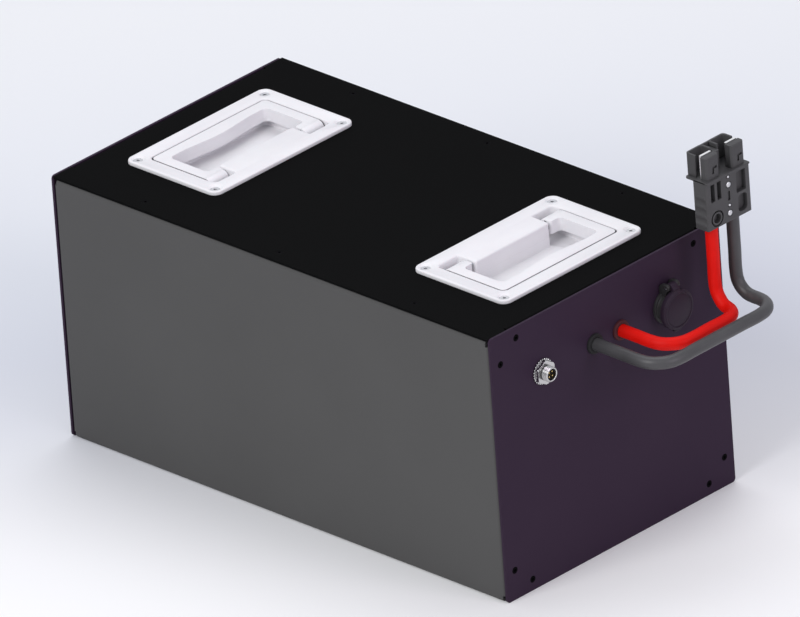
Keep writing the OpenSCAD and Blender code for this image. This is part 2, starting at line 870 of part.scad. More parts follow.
// Windows, rivet seats, the middle slot and the round wire entries in the front face
module conn_front() {
    face = conn_d / 2;
    for (y = [-19, -12.2])
        box([face - 3, y, conn_z + 22.5], [face + 1, y + 4.2, conn_z + 37]);
    box([face - 3, 8.4, conn_z + 20], [face + 1, 18.4, conn_z + 37]);
    translate([face - 3, 0, 0])
        rotate([90, 0, 90])
            linear_extrude(height = 4)
                translate([14, conn_z + 10.5])
                    round_rect(9.5, 14, 3);
    box([face - 1.2, -1.2, conn_z + 17.5], [face + 1, 1.2, conn_z + 25]);
    for (z = rivet_z)
        rod_x(z[1] + 1, face - 1, 3, 0, conn_z + z[0]);
    difference() {
        rod_x(16, face - 1.5, 4, -13.6, conn_z + 7.2);
        rod_x(12.4, face - 2, 5, -13.6, conn_z + 7.2);
    }
    rod_x(8, face - 3, 5, -13.6, conn_z + 7.2);
}

// Silver-plated contacts: a barrel on the wire and a flat blade that ends on top of the tongue
module connector_contacts() {
    color([0.85, 0.85, 0.86])
        translate([mid_x, conn_y, 0])
            for (s = [-1, 1]) {
                translate([conn_x - mid_x, s * conn_pitch / 2, conn_z + lead_in])
                    cylinder(d = lead_d - 1.2, h = 22);
                blade_slot(s, 0, conn_mate_h + 0.5);
            }
}

// Four rivets that hold the two halves of the housing
module connector_rivets() {
    color(zinc)
        translate([mid_x, conn_y, 0])
            for (z = rivet_z) {
                rod_x(z[1], conn_d / 2 - 1, 1.3, 0, conn_z + z[0]);
            }
}

// Charging port: flange, open barrel in front, thread behind and two ears for the cap
module port_body() {
    color(black)
        difference() {
            union() {
                rod_x(port_flange_d, plate_x, 2.5, port_y, fit_z);
                rod_x(port_flange_d - 3, plate_x, port_out, port_y, fit_z);
                rod_x(port_thread_d, plate_x - sheet - 14, sheet + 14, port_y, fit_z);
                for (s = [-1, 1])
                    translate([0, port_y + s * (knuckle_l / 2 + gap + ear_t / 2), 0]) {
                        rod_y(2 * ear_r, hinge_x, hinge_z, ear_t);
                        box([plate_x, -ear_t / 2, fit_z + port_bore_d / 2 + 2],
                            [hinge_x, ear_t / 2, hinge_z]);
                        box([plate_x, -ear_t / 2, hinge_z - ear_r],
                            [hinge_x, ear_t / 2, hinge_z + ear_r]);
                    }
            }
            rod_x(port_bore_d, plate_x - 4, 20, port_y, fit_z);
            rod_x(port_thread_d - 4, plate_x - sheet - 15, 9, port_y, fit_z);
            translate([0, port_y, 0])
                rod_y(cap_pin_d, hinge_x, hinge_z, knuckle_l + 2 * (gap + ear_t) + 1);
        }
}

module port_insert() {
    color(steel_grey)
        rod_x(port_bore_d - 2 * snug, plate_x - 4, 3, port_y, fit_z);
}

module port_pins() {
    color("gold")
        for (a = [90 : 120 : 330])
            translate([0, port_y + 4 * cos(a), fit_z + 4 * sin(a)])
                rod_x(2, plate_x - 1, 6);
}

module port_nut() {
    nut_af = port_thread_d * 1.25;
    color(zinc)
        difference() {
            translate([plate_x - sheet - 4, port_y, fit_z])
                rotate([0, 90, 0])
                    cylinder(d = nut_af / cos(30), h = 4, $fn = 6);
            rod_x(port_thread_d + 2 * snug, plate_x - sheet - 6, 8, port_y, fit_z);
        }
}

// Flip cap with a seal boss, a knuckle between the ears and a thumb tab
module port_cap() {
    color(plum)
        difference() {
            union() {
                rod_x(cap_d, cap_x, cap_t - 1, port_y, fit_z);
                rod_x(cap_d - 2, cap_x, cap_t, port_y, fit_z);
                rod_x(port_bore_d - 0.8, cap_x - 1.6, 2, port_y, fit_z);
                translate([0, port_y, 0]) {
                    rod_y(2 * ear_r, hinge_x, hinge_z, knuckle_l);
                    box([hinge_x, -knuckle_l / 2, hinge_z - ear_r - 3],
                        [cap_x + cap_t - 1.5, knuckle_l / 2, hinge_z + ear_r - 1]);
                    box([cap_x, -4, fit_z - cap_d / 2 - 2.5], [cap_x + 2.5, 4, fit_z - cap_d / 2 + 2]);
                }
            }
            translate([0, port_y, 0])
                rod_y(cap_pin_d + 2 * snug, hinge_x, hinge_z, knuckle_l + 2);
        }
}

module port_cap_pin() {
    color(zinc)
        translate([0, port_y, 0])
            rod_y(cap_pin_d, hinge_x, hinge_z, knuckle_l + 2 * gap + 2 * ear_t);
}

// Prismatic cell i with round edges, two terminals and a vent
module cell(i) {
    col = i < row_len ? 0 : 1;
    x = column_x[col];
    y = (i % row_len - (row_len - 1) / 2) * cell_pitch;
    color([0.2, 0.35, 0.6])
        translate([x, y, cell_z]) {
            round_block(cell_w, cell_t, 2, 0, cell_h);
            for (s = [-1, 1])
                translate([s * terminal_x, 0, cell_h - 1])
                    cylinder(d = 12, h = terminal_h + 1);
            translate([0, 0, cell_h - 1])
                cylinder(d = 14, h = 1.5);
        }
}

module base_pad() {
    color([0.25, 0.25, 0.26])
        box([module_x, -clamp_y, sheet], [module_end, clamp_y, cell_z]);
}

// Foam that fills the space between the module and the long sides, with pockets for the rod heads
module side_pads() {
    color([0.25, 0.25, 0.26])
        difference() {
            for (s = [-1, 1])
                box([module_x, s > 0 ? clamp_y : -case_w / 2 + sheet, cell_z + 5],
                    [module_end, s > 0 ? case_w / 2 - sheet : -clamp_y, cell_z + cell_h - 10]);
            at_rods()
                rod_y(rod_d * 1.8 + 2, 0, 0, 2 * clamp_y + 8);
        }
}

// Aluminium plate along one side of the module, s = -1 or 1
module clamp_plate(s) {
    y = s * (stack_w / 2 + clamp_t / 2);
    color([0.75, 0.76, 0.78])
        difference() {
            translate([(module_x + module_end) / 2, y, cell_z + cell_h / 2])
                cube([module_end - module_x, clamp_t, cell_h], center = true);
            at_rods()
                translate([0, y, 0])
                    rod_y(rod_d + 0.4, 0, 0, clamp_t + 2);
        }
}

module at_rods() {
    for (x = [module_x + rod_gap / 2, (column_x[0] + column_x[1]) / 2, module_end - rod_gap / 2],
         z = [cell_z + 20, cell_z + cell_h - 20])
        translate([x, 0, z])
            children();
}

module tie_rods() {
    color(zinc)
        at_rods() {
            rod_y(rod_d, 0, 0, 2 * clamp_y);
            for (s = [-1, 1])
                translate([0, s * (clamp_y + 1.5), 0])
                    rod_y(rod_d * 1.8, 0, 0, 3);
        }
}

// Sheet on the cells with a hole for each terminal
module insulation_plate() {
    z = cell_z + cell_h + 0.5;
    color([0.2, 0.55, 0.35])
        difference() {
            box([module_x + rod_gap, -stack_w / 2, z], [module_end - rod_gap, stack_w / 2, z + 1.5]);
            for (x = column_x, s = [-1, 1], k = [0 : row_len - 1])
                translate([x + s * terminal_x, (k - (row_len - 1) / 2) * cell_pitch, z - 1])
                    cylinder(d = 14, h = 4);
        }
}

// Copper bars that join the cells in series, in a zigzag along both rows
module busbars() {
    z = cell_z + cell_h + terminal_h;
    color([0.8, 0.45, 0.25])
        for (c = [0, 1], k = [0 : row_len - 2]) {
            side = (k + c) % 2 == 0 ? -1 : 1;
            translate([column_x[c] + side * terminal_x, (k - (row_len - 2) / 2) * cell_pitch, z])
                linear_extrude(height = bar_t)
                    round_rect(16, cell_pitch + 14, 4);
        }
    color([0.8, 0.45, 0.25])
        translate([(column_x[0] + column_x[1]) / 2, (row_len - 1) / 2 * cell_pitch, z])
            linear_extrude(height = bar_t)
                round_rect(column_x[1] - column_x[0] - 2 * terminal_x + 16, 16, 4);
    color([0.8, 0.45, 0.25])
        link_bars();
}

// Copper bars from the two free terminals to the fuse and to the board
module link_bars() {
    z = cell_z + cell_h + terminal_h;
    y = -(row_len - 1) / 2 * cell_pitch;
    fuse_y = red_y + fuse_l;
    for (l = [[column_x[0] + terminal_x, 8, fuse_y + 3], [column_x[1] - terminal_x, 4, 12 - bms_w / 2]]) {
        translate([l[0], y, z])
            cylinder(d = 14, h = l[1] + bar_t);
        box([l[0], y - 8, z + l[1]], [post_x + 8, y + 8, z + l[1] + bar_t]);
        box([post_x - 8, y, z + l[1]], [post_x + 8, l[2], z + l[1] + bar_t]);
    }
    box([post_x - fuse_w / 4, fuse_y, z + 8], [post_x + fuse_w / 4, fuse_y + 3, bracket_top + 3]);
    box([board_x + board_t, -bms_w / 2 + 2, z + 4], [post_x, 12 - bms_w / 2, z + 4 + bar_t]);
}

// Folded bracket that stands in the front bay and carries the board and the lead bolts
module bms_bracket() {
    color(zinc)
        difference() {
            union() {
                box([bay_x, -bms_w / 2 - 6, sheet], [bay_x + sheet, bms_w / 2 + 6, bracket_top]);
                box([bay_x, -bms_w / 2 - 6, sheet], [bay_x + foot_x, bms_w / 2 + 6, 2 * sheet]);
                box([bay_x, -shelf_w / 2, bracket_top - sheet],
                    [bay_x + shelf_l, shelf_w / 2, bracket_top]);
            }
            for (y = [-1, 1])
                translate([bay_x + 20, y * (bms_w / 2 - 6), 0])
                    cylinder(d = 5, h = 3 * sheet);
        }
}

module bms_board() {
    color([0.1, 0.4, 0.2]) {
        box([board_x, -bms_w / 2, board_z], [board_x + board_t, bms_w / 2, board_z + bms_h]);
        for (s = [-1, 1], z = [board_z + 6, board_z + bms_h - 6])
            rod_x(board_gap, bay_x + sheet, board_gap, s * (bms_w / 2 - 6), z);
    }
}

// Heatsink on the board, a plate with upright fins
module bms_heatsink() {
    x = board_x + board_t;
    half = bms_w / 2 - sink_in;
    fin_t = sink_t * 0.4;
    step = (2 * half - fin_t) / (fin_count - 1);
    color([0.7, 0.71, 0.73])
        union() {
            box([x, -half, board_z + sink_in], [x + sink_t, half, board_z + bms_h - sink_in]);
            for (i = [0 : fin_count - 1])
                translate([x + sink_t - 1, i * step - half, board_z + sink_in])
                    cube([fin_h, fin_t, bms_h - 2 * sink_in]);
        }
}

// Bolted fuse between the red lead's lug and the module, and the black lead's pad
module main_fuse() {
    z = bracket_top;
    fuse_h = fuse_l * 0.4;
    color([0.85, 0.8, 0.6]) {
        for (y = [black_y, red_y])
            translate([post_x, y, z])
                cylinder(d = post_d, h = fit_z - lead_d / 2 - z);
        translate([post_x, red_y, z])
            box([-fuse_w / 4, 5, 0], [fuse_w / 4, fuse_l, 3]);
        translate([post_x - fuse_w / 2, red_y + 10, z])
            cube([fuse_w, fuse_l - 14, fuse_h]);
    }
}

case_body();
top_cover();
front_end_plate();
rear_end_plate();
case_screws();
clinch_nuts();
at_handle(1) handle_tray();  // handle_tray_front
at_handle(-1) handle_tray();  // handle_tray_rear
at_handle(1) bail();  // bail_front
at_handle(-1) bail();  // bail_rear
at_handle(1) bail_pins();  // bail_pins_front
at_handle(-1) bail_pins();  // bail_pins_rear
handle_screws();
handle_nuts();
data_socket_shell();
data_socket_washer();
data_socket_nut();
data_socket_insert();
data_socket_pins();
grommet(black_y);  // grommet_black
grommet(red_y);  // grommet_red
lead_black();
lead_red();
lead_tails();
connector_housing();
connector_contacts();
connector_rivets();
port_body();
port_insert();
port_pins();
port_nut();
port_cap();
port_cap_pin();
for (i = [0 : cell_count - 1])
    cell(i);
base_pad();
side_pads();
clamp_plate(-1);  // clamp_plate_left
clamp_plate(1);  // clamp_plate_right
tie_rods();
insulation_plate();
busbars();
bms_bracket();
bms_board();
bms_heatsink();
main_fuse();
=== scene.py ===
import math
import bmesh
import bpy
from mathutils import Matrix, Vector


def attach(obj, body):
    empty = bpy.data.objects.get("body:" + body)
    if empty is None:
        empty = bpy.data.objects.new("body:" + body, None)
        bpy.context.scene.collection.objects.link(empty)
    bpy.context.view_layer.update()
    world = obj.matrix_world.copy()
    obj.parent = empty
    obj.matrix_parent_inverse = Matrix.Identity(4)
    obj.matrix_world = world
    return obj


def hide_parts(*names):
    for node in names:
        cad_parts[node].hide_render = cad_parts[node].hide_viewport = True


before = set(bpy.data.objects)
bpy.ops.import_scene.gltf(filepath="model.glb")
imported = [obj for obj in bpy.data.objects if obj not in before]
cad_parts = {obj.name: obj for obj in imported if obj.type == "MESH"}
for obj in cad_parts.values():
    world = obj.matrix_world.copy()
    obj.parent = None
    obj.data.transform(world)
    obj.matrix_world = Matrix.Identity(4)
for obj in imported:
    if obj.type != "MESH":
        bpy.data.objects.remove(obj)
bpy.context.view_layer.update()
mm = 0.001
weldReach = 0.002 * mm
signs = [(a, b) for a in (-1, 1) for b in (-1, 1)]  # the four corners of a rectangle

# The photograph looks along one fixed direction with hardly any perspective
view = {"azimuth": 45.71, "elevation": 26.81, "roll": -4.14, "distance": 20.0,
        "pixelsPerMetre": 1330.4, "pictureWidth": 800.0, "sensor": 36.0, "clipEnd": 200.0,
        "target": (-0.0182, 0.0265, 0.110)}


def placeCamera():
    camData = bpy.data.cameras.new("camera")
    camData.sensor_width = view["sensor"]
    camData.lens = view["pixelsPerMetre"] * view["sensor"] / view["pictureWidth"] * view["distance"]
    camData.clip_end = view["clipEnd"]
    cam = bpy.data.objects.new("camera", camData)
    bpy.context.scene.collection.objects.link(cam)
    turn = (Matrix.Rotation(math.radians(view["azimuth"]), 4, "Z")
            @ Matrix.Rotation(math.radians(90 - view["elevation"]), 4, "X")
            @ Matrix.Rotation(math.radians(view["roll"]), 4, "Z"))
    back = (turn @ Vector((0, 0, 1, 0))).to_3d()
    cam.matrix_world = Matrix.Translation(Vector(view["target"]) + back * view["distance"]) @ turn
    bpy.context.scene.camera = cam


# Helpers for node trees
def link(tree, fromNode, fromName, toNode, toName):
    tree.links.new(fromNode.outputs[fromName], toNode.inputs[toName])


def newNode(tree, kind, **values):
    made = tree.nodes.new(kind)
    for key, value in values.items():
        setattr(made, key, value)
    return made


def mathNode(tree, operation, *values, clamp=False):
    made = newNode(tree, "ShaderNodeMath", operation=operation, use_clamp=clamp)
    for index, value in enumerate(values):
        if isinstance(value, (int, float)):
            made.inputs[index].default_value = value
        else:
            tree.links.new(value, made.inputs[index])
    return made.outputs["Value"]


def newGroup(name, inputs, outputs):
    group = bpy.data.node_groups.new(name, "ShaderNodeTree")
    for label, kind, value in inputs:
        socket = group.interface.new_socket(label, in_out="INPUT", socket_type=kind)
        if value is not None:
            socket.default_value = value
    for label, kind in outputs:
        group.interface.new_socket(label, in_out="OUTPUT", socket_type=kind)
    return group, group.nodes.new("NodeGroupInput"), group.nodes.new("NodeGroupOutput")


grainLook = {"mottleDetail": 5.0, "mottleRoughness": 0.6, "grainDetail": 2.0}
edgeLook = {"samples": 6, "noiseDetail": 4.0, "gain": 7.0, "breakGain": 3.2, "breakShift": -1.1}
brushLook = {"detail": 4.0, "depth": 0.00005}
creviceLook = {"samples": 8, "open": 0.72, "gain": 2.2}


# Slow mottling for colour and roughness, and a fine grain for the relief
def makeGrainGroup():
    group, start, end = newGroup(
        "surfaceGrain",
        [("Mottle Scale", "NodeSocketFloat", 18.0), ("Grain Scale", "NodeSocketFloat", 900.0),
         ("Relief", "NodeSocketFloat", 0.2), ("Depth", "NodeSocketFloat", 0.0001),
         ("Normal", "NodeSocketVector", None)],
        [("Tone", "NodeSocketFloat"), ("Normal", "NodeSocketVector")])
    place = newNode(group, "ShaderNodeTexCoord")
    mottle = newNode(group, "ShaderNodeTexNoise")
    mottle.inputs["Detail"].default_value = grainLook["mottleDetail"]
    mottle.inputs["Roughness"].default_value = grainLook["mottleRoughness"]
    grain = newNode(group, "ShaderNodeTexNoise")
    grain.inputs["Detail"].default_value = grainLook["grainDetail"]
    bump = newNode(group, "ShaderNodeBump")
    link(group, place, "Object", mottle, "Vector")
    link(group, place, "Object", grain, "Vector")
    link(group, start, "Mottle Scale", mottle, "Scale")
    link(group, start, "Grain Scale", grain, "Scale")
    link(group, start, "Relief", bump, "Strength")
    link(group, start, "Depth", bump, "Distance")
    link(group, start, "Normal", bump, "Normal")
    link(group, grain, "Fac", bump, "Height")
    link(group, mottle, "Fac", end, "Tone")
    link(group, bump, "Normal", end, "Normal")
    return group


# Rounds sharp edges for the shading and says where they are, broken up by noise
def makeEdgeGroup():
    group, start, end = newGroup(
        "edgeRounding",
        [("Radius", "NodeSocketFloat", 0.0006), ("Breakup", "NodeSocketFloat", 160.0)],
        [("Edge", "NodeSocketFloat"), ("Normal", "NodeSocketVector")])
    bevel = newNode(group, "ShaderNodeBevel", samples=edgeLook["samples"])
    geometry = newNode(group, "ShaderNodeNewGeometry")
    place = newNode(group, "ShaderNodeTexCoord")
    noise = newNode(group, "ShaderNodeTexNoise")
    noise.inputs["Detail"].default_value = edgeLook["noiseDetail"]
    dot = newNode(group, "ShaderNodeVectorMath", operation="DOT_PRODUCT")
    link(group, start, "Radius", bevel, "Radius")
    link(group, start, "Breakup", noise, "Scale")
    link(group, place, "Object", noise, "Vector")
    group.links.new(bevel.outputs["Normal"], dot.inputs[0])
    group.links.new(geometry.outputs["Normal"], dot.inputs[1])
    away = mathNode(group, "SUBTRACT", 1.0, dot.outputs["Value"], clamp=True)
    strong = mathNode(group, "MULTIPLY", away, edgeLook["gain"], clamp=True)
    broken = mathNode(group, "MULTIPLY_ADD", noise.outputs["Fac"], edgeLook["breakGain"],
                      edgeLook["breakShift"], clamp=True)
    edge = mathNode(group, "MULTIPLY", strong, broken, clamp=True)
    group.links.new(edge, end.inputs["Edge"])
    link(group, bevel, "Normal", end, "Normal")
    return group


# Long fine scratches along one axis, for turned, rolled and brushed metal
def makeBrushGroup():
    group, start, end = newGroup(
        "brushMarks",
        [("Stretch", "NodeSocketVector", (40.0, 900.0, 900.0)), ("Relief", "NodeSocketFloat", 0.1),
         ("Normal", "NodeSocketVector", None)],
        [("Streak", "NodeSocketFloat"), ("Normal", "NodeSocketVector")])
    place = newNode(group, "ShaderNodeTexCoord")
    scale = newNode(group, "ShaderNodeVectorMath", operation="MULTIPLY")
    noise = newNode(group, "ShaderNodeTexNoise")
    noise.inputs["Scale"].default_value = 1.0
    noise.inputs["Detail"].default_value = brushLook["detail"]
    bump = newNode(group, "ShaderNodeBump")
    bump.inputs["Distance"].default_value = brushLook["depth"]
    group.links.new(place.outputs["Object"], scale.inputs[0])
    group.links.new(start.outputs["Stretch"], scale.inputs[1])
    link(group, scale, "Vector", noise, "Vector")
    link(group, noise, "Fac", bump, "Height")
    link(group, start, "Relief", bump, "Strength")
    link(group, start, "Normal", bump, "Normal")
    link(group, noise, "Fac", end, "Streak")
    link(group, bump, "Normal", end, "Normal")
    return group


# Painted shade where surfaces meet in a narrow gap or a recess: a darker colour mixed in by ambient occlusion
def makeCreviceGroup():
    group, start, end = newGroup(
        "creviceShade", [("Reach", "NodeSocketFloat", 0.003)], [("Crevice", "NodeSocketFloat")])
    shade = newNode(group, "ShaderNodeAmbientOcclusion", samples=creviceLook["samples"])
    link(group, start, "Reach", shade, "Distance")
    closed = mathNode(group, "SUBTRACT", creviceLook["open"], shade.outputs["AO"], clamp=True)
    strong = mathNode(group, "MULTIPLY", closed, creviceLook["gain"], clamp=True)
    group.links.new(strong, end.inputs["Crevice"])
    return group


grainGroup = makeGrainGroup()
creviceGroup = makeCreviceGroup()
edgeGroup = makeEdgeGroup()
brushGroup = makeBrushGroup()


def groupNode(tree, group, **values):
    made = tree.nodes.new("ShaderNodeGroup")
    made.node_tree = group
    for label, value in values.items():
        made.inputs[label.replace("_", " ")].default_value = value
    return made


def mixColours(tree, factor, first, second):
    mix = newNode(tree, "ShaderNodeMix", data_type="RGBA", blend_type="MIX")
    tree.links.new(factor, mix.inputs["Factor"])
    for name, value in (("A", first), ("B", second)):
        socket = next(s for s in mix.inputs if s.name == name and s.type == "RGBA")
        if isinstance(value, (tuple, list)):
            socket.default_value = (*value, 1.0)
        else:
            tree.links.new(value, socket)
    return next(s for s in mix.outputs if s.type == "RGBA")


softness = {"radius": (0.004, 0.003, 0.003), "scale": 0.5}
toneContrast = {"gain": 2.6, "shift": -0.8, "streak": 0.6}


def makeMaterial(name, spec):
    material = bpy.data.materials.new(name)
    material.use_nodes = True
    tree = material.node_tree
    shader = tree.nodes["Principled BSDF"]
    shader.inputs["Metallic"].default_value = spec.get("metallic", 0.0)
    shader.inputs["Specular IOR Level"].default_value = spec.get("specular", 0.35)
    shader.inputs["Subsurface Weight"].default_value = spec.get("subsurface", 0.0)
    shader.inputs["Subsurface Radius"].default_value = softness["radius"]
    shader.inputs["Subsurface Scale"].default_value = softness["scale"]
    edges = groupNode(tree, edgeGroup, Radius=spec.get("radius", 0.0005))
    grain = groupNode(tree, grainGroup, Mottle_Scale=spec.get("mottle", 18.0),
                      Grain_Scale=spec.get("grain", 900.0), Relief=spec.get("relief", 0.2),
                      Depth=spec.get("depth", 0.0001))
    link(tree, edges, "Normal", grain, "Normal")
    normal = grain.outputs["Normal"]
    contrast = mathNode(tree, "MULTIPLY_ADD", grain.outputs["Tone"], toneContrast["gain"],
                        toneContrast["shift"], clamp=True)
    colour = mixColours(tree, contrast, spec["base"], spec["tone"])
    if "brush" in spec:
        brush = groupNode(tree, brushGroup, Stretch=spec["brush"], Relief=spec.get("brushRelief", 0.15))
        tree.links.new(normal, brush.inputs["Normal"])
        normal = brush.outputs["Normal"]
        streak = mathNode(tree, "MULTIPLY", brush.outputs["Streak"], toneContrast["streak"])
        colour = mixColours(tree, streak, colour, spec["streak"])
    if "wear" in spec:
        amount = mathNode(tree, "MULTIPLY", edges.outputs["Edge"], spec.get("wearAmount", 0.5), clamp=True)
        colour = mixColours(tree, amount, colour, spec["wear"])
    # Painted shade: a dark colour mixed in where ambient occlusion finds a narrow gap or recess
    if "paintedShade" in spec:
        paintedShade = groupNode(tree, creviceGroup, Reach=spec.get("reach", 0.003))
        colour = mixColours(tree, paintedShade.outputs["Crevice"], colour, spec["paintedShade"])
    low, high = spec["rough"]
    rough = mathNode(tree, "MULTIPLY_ADD", grain.outputs["Tone"], high - low, low)
    tree.links.new(colour, shader.inputs["Base Color"])
    tree.links.new(rough, shader.inputs["Roughness"])
    tree.links.new(normal, shader.inputs["Normal"])
    return material


# Finishes: two colours that mottle each other, and lengths in metres. The colour mixed into narrow gaps and
# recesses is painted shade
finishes = {
    "blackCoat": {"base": (0.0029, 0.0029, 0.003), "tone": (0.0041, 0.0041, 0.0042), "rough": (0.6, 0.78),
                  "specular": 0.016, "mottle": 9.0, "grain": 1500.0, "relief": 0.35, "depth": 0.00012,
                  "wear": (0.03, 0.03, 0.032), "wearAmount": 0.3, "radius": 0.0007},
    "greyCoat": {"base": (0.068, 0.067, 0.0665), "tone": (0.076, 0.075, 0.0745), "rough": (0.5, 0.66),
                 "specular": 0.2, "mottle": 7.0, "grain": 1400.0, "relief": 0.35, "depth": 0.00012,
                 "wear": (0.16, 0.16, 0.165), "wearAmount": 0.4, "radius": 0.0007},
    # End plates: a dark coat whose plum tint is partly painted lavender light, as falls on faces towards +X
    "darkCoatPaintedLavender": {"base": (0.0295, 0.0165, 0.034), "tone": (0.034, 0.02, 0.038), "rough": (0.5, 0.68),
                 "specular": 0.08, "mottle": 10.0, "grain": 1500.0, "relief": 0.35, "depth": 0.00012,
                 "wear": (0.07, 0.055, 0.075), "wearAmount": 0.3, "radius": 0.0007},
    "blackScrew": {"base": (0.0022, 0.002, 0.0025), "tone": (0.0036, 0.0033, 0.004), "rough": (0.6, 0.75),
                   "specular": 0.02, "grain": 2500.0, "relief": 0.2, "wear": (0.03, 0.03, 0.03),
                   "wearAmount": 0.2, "radius": 0.0002},
    # The white nylon's gap colour is painted shade in the gaps round the bail and the tray
    "whiteNylon": {"base": (0.84, 0.83, 0.85), "tone": (0.79, 0.775, 0.805), "rough": (0.42, 0.56),
                   "paintedShade": (0.12, 0.11, 0.13), "reach": 0.0022,
                   "specular": 0.3, "mottle": 22.0, "grain": 2400.0, "relief": 0.3, "depth": 0.00006,
                   "subsurface": 0.08, "wear": (0.86, 0.85, 0.87), "wearAmount": 0.3, "radius": 0.0006},
    "zincSteel": {"base": (0.5, 0.5, 0.53), "tone": (0.6, 0.6, 0.6), "rough": (0.28, 0.45), "metallic": 1.0,
                  "grain": 1800.0, "relief": 0.15, "brush": (700.0, 700.0, 60.0), "streak": (0.68, 0.68, 0.7),
                  "wear": (0.8, 0.8, 0.82), "wearAmount": 0.4, "radius": 0.0002},
    # The nickel's gap colour is painted shade in the socket's gaps
    "nickel": {"base": (0.44, 0.43, 0.43), "tone": (0.54, 0.53, 0.53), "paintedShade": (0.04, 0.04, 0.04),
               "reach": 0.0016, "rough": (0.16, 0.28), "metallic": 1.0,
               "grain": 1500.0, "relief": 0.08, "brush": (60.0, 800.0, 800.0), "streak": (0.66, 0.66, 0.66),
               "wear": (0.88, 0.88, 0.88), "wearAmount": 0.5, "radius": 0.0003},
    "gold": {"base": (0.82, 0.6, 0.24), "tone": (0.9, 0.7, 0.32), "rough": (0.2, 0.3), "metallic": 1.0,
             "grain": 3000.0, "relief": 0.05, "radius": 0.0001},
    "silver": {"base": (0.78, 0.77, 0.75), "tone": (0.86, 0.85, 0.84), "rough": (0.22, 0.34), "metallic": 1.0,
               "grain": 2000.0, "relief": 0.08, "brush": (500.0, 500.0, 50.0), "streak": (0.9, 0.9, 0.9),
               "radius": 0.0003},
    "copper": {"base": (0.7, 0.36, 0.22), "tone": (0.78, 0.45, 0.3), "rough": (0.26, 0.42), "metallic": 1.0,
               "grain": 1600.0, "relief": 0.1, "brush": (60.0, 700.0, 700.0), "streak": (0.85, 0.55, 0.4),
               "radius": 0.0003},
    "aluminium": {"base": (0.62, 0.63, 0.65), "tone": (0.7, 0.71, 0.72), "rough": (0.34, 0.48),
                  "metallic": 1.0, "grain": 1500.0, "relief": 0.12, "brush": (50.0, 700.0, 700.0),
                  "streak": (0.76, 0.77, 0.78), "radius": 0.0003},
    "blackPlastic": {"base": (0.022, 0.0215, 0.0225), "tone": (0.028, 0.0275, 0.029), "rough": (0.38, 0.52),
                     "specular": 0.25, "grain": 2600.0, "relief": 0.25, "depth": 0.00006,
                     "wear": (0.05, 0.05, 0.052), "wearAmount": 0.5, "radius": 0.0004},
    # Port cap: black plastic whose plum tint is painted lavender light, as falls on faces towards +X
    "capPlasticPaintedLavender": {"base": (0.021, 0.0125, 0.0235), "tone": (0.026, 0.0165, 0.0285), "rough": (0.42, 0.56),
                   "specular": 0.12, "grain": 2600.0, "relief": 0.25, "depth": 0.00006,
                   "wear": (0.06, 0.055, 0.06), "wearAmount": 0.5, "radius": 0.0005},
    # The polycarbonate's gap colour is painted shade in the connector's windows and gaps
    "greyPolycarbonate": {"base": (0.05, 0.049, 0.051), "tone": (0.064, 0.063, 0.065), "rough": (0.4, 0.55),
                          "specular": 0.25, "paintedShade": (0.012, 0.012, 0.013), "reach": 0.002,
                          "grain": 2200.0, "relief": 0.3, "depth": 0.00007,
                          "wear": (0.13, 0.13, 0.13), "wearAmount": 0.5, "radius": 0.0005},
    "blackRubber": {"base": (0.012, 0.012, 0.0125), "tone": (0.02, 0.02, 0.021), "rough": (0.6, 0.78),
                    "specular": 0.2, "grain": 1600.0, "relief": 0.35, "depth": 0.0001, "radius": 0.0004},
    "redRubber": {"base": (0.05, 0.009, 0.012), "tone": (0.07, 0.012, 0.015), "rough": (0.55, 0.7),
                  "specular": 0.25, "grain": 1600.0, "relief": 0.35, "depth": 0.0001, "radius": 0.0004},
    "redSilicone": {"base": (0.74, 0.006, 0.002), "tone": (0.64, 0.004, 0.002), "rough": (0.5, 0.6),
                    "specular": 0.16, "mottle": 30.0, "grain": 700.0, "relief": 0.2, "depth": 0.00015,
                    "radius": 0.0001},
    "greySilicone": {"base": (0.045, 0.044, 0.047), "tone": (0.062, 0.061, 0.064), "rough": (0.36, 0.5),
                     "specular": 0.4, "mottle": 30.0, "grain": 700.0, "relief": 0.2, "depth": 0.00015,
                     "radius": 0.0001},
    "cellFilm": {"base": (0.03, 0.1, 0.3), "tone": (0.05, 0.14, 0.36), "rough": (0.25, 0.4),
                 "specular": 0.5, "grain": 600.0, "relief": 0.2, "depth": 0.0001, "radius": 0.0008},
    "foam": {"base": (0.03, 0.03, 0.032), "tone": (0.05, 0.05, 0.052), "rough": (0.85, 0.95),
             "specular": 0.1, "grain": 500.0, "relief": 0.8, "depth": 0.0004, "radius": 0.0008},
    "laminate": {"base": (0.06, 0.22, 0.12), "tone": (0.09, 0.27, 0.15), "rough": (0.4, 0.55),
                 "specular": 0.4, "grain": 800.0, "relief": 0.2, "radius": 0.0003},
    "board": {"base": (0.012, 0.09, 0.03), "tone": (0.02, 0.13, 0.045), "rough": (0.2, 0.3),
              "specular": 0.5, "grain": 300.0, "relief": 0.15, "radius": 0.0002},
    "ceramic": {"base": (0.55, 0.5, 0.38), "tone": (0.62, 0.58, 0.46), "rough": (0.45, 0.6),
                "specular": 0.35, "grain": 1200.0, "relief": 0.2, "radius": 0.0004},
}
materials = {name: makeMaterial(name, spec) for name, spec in finishes.items()}

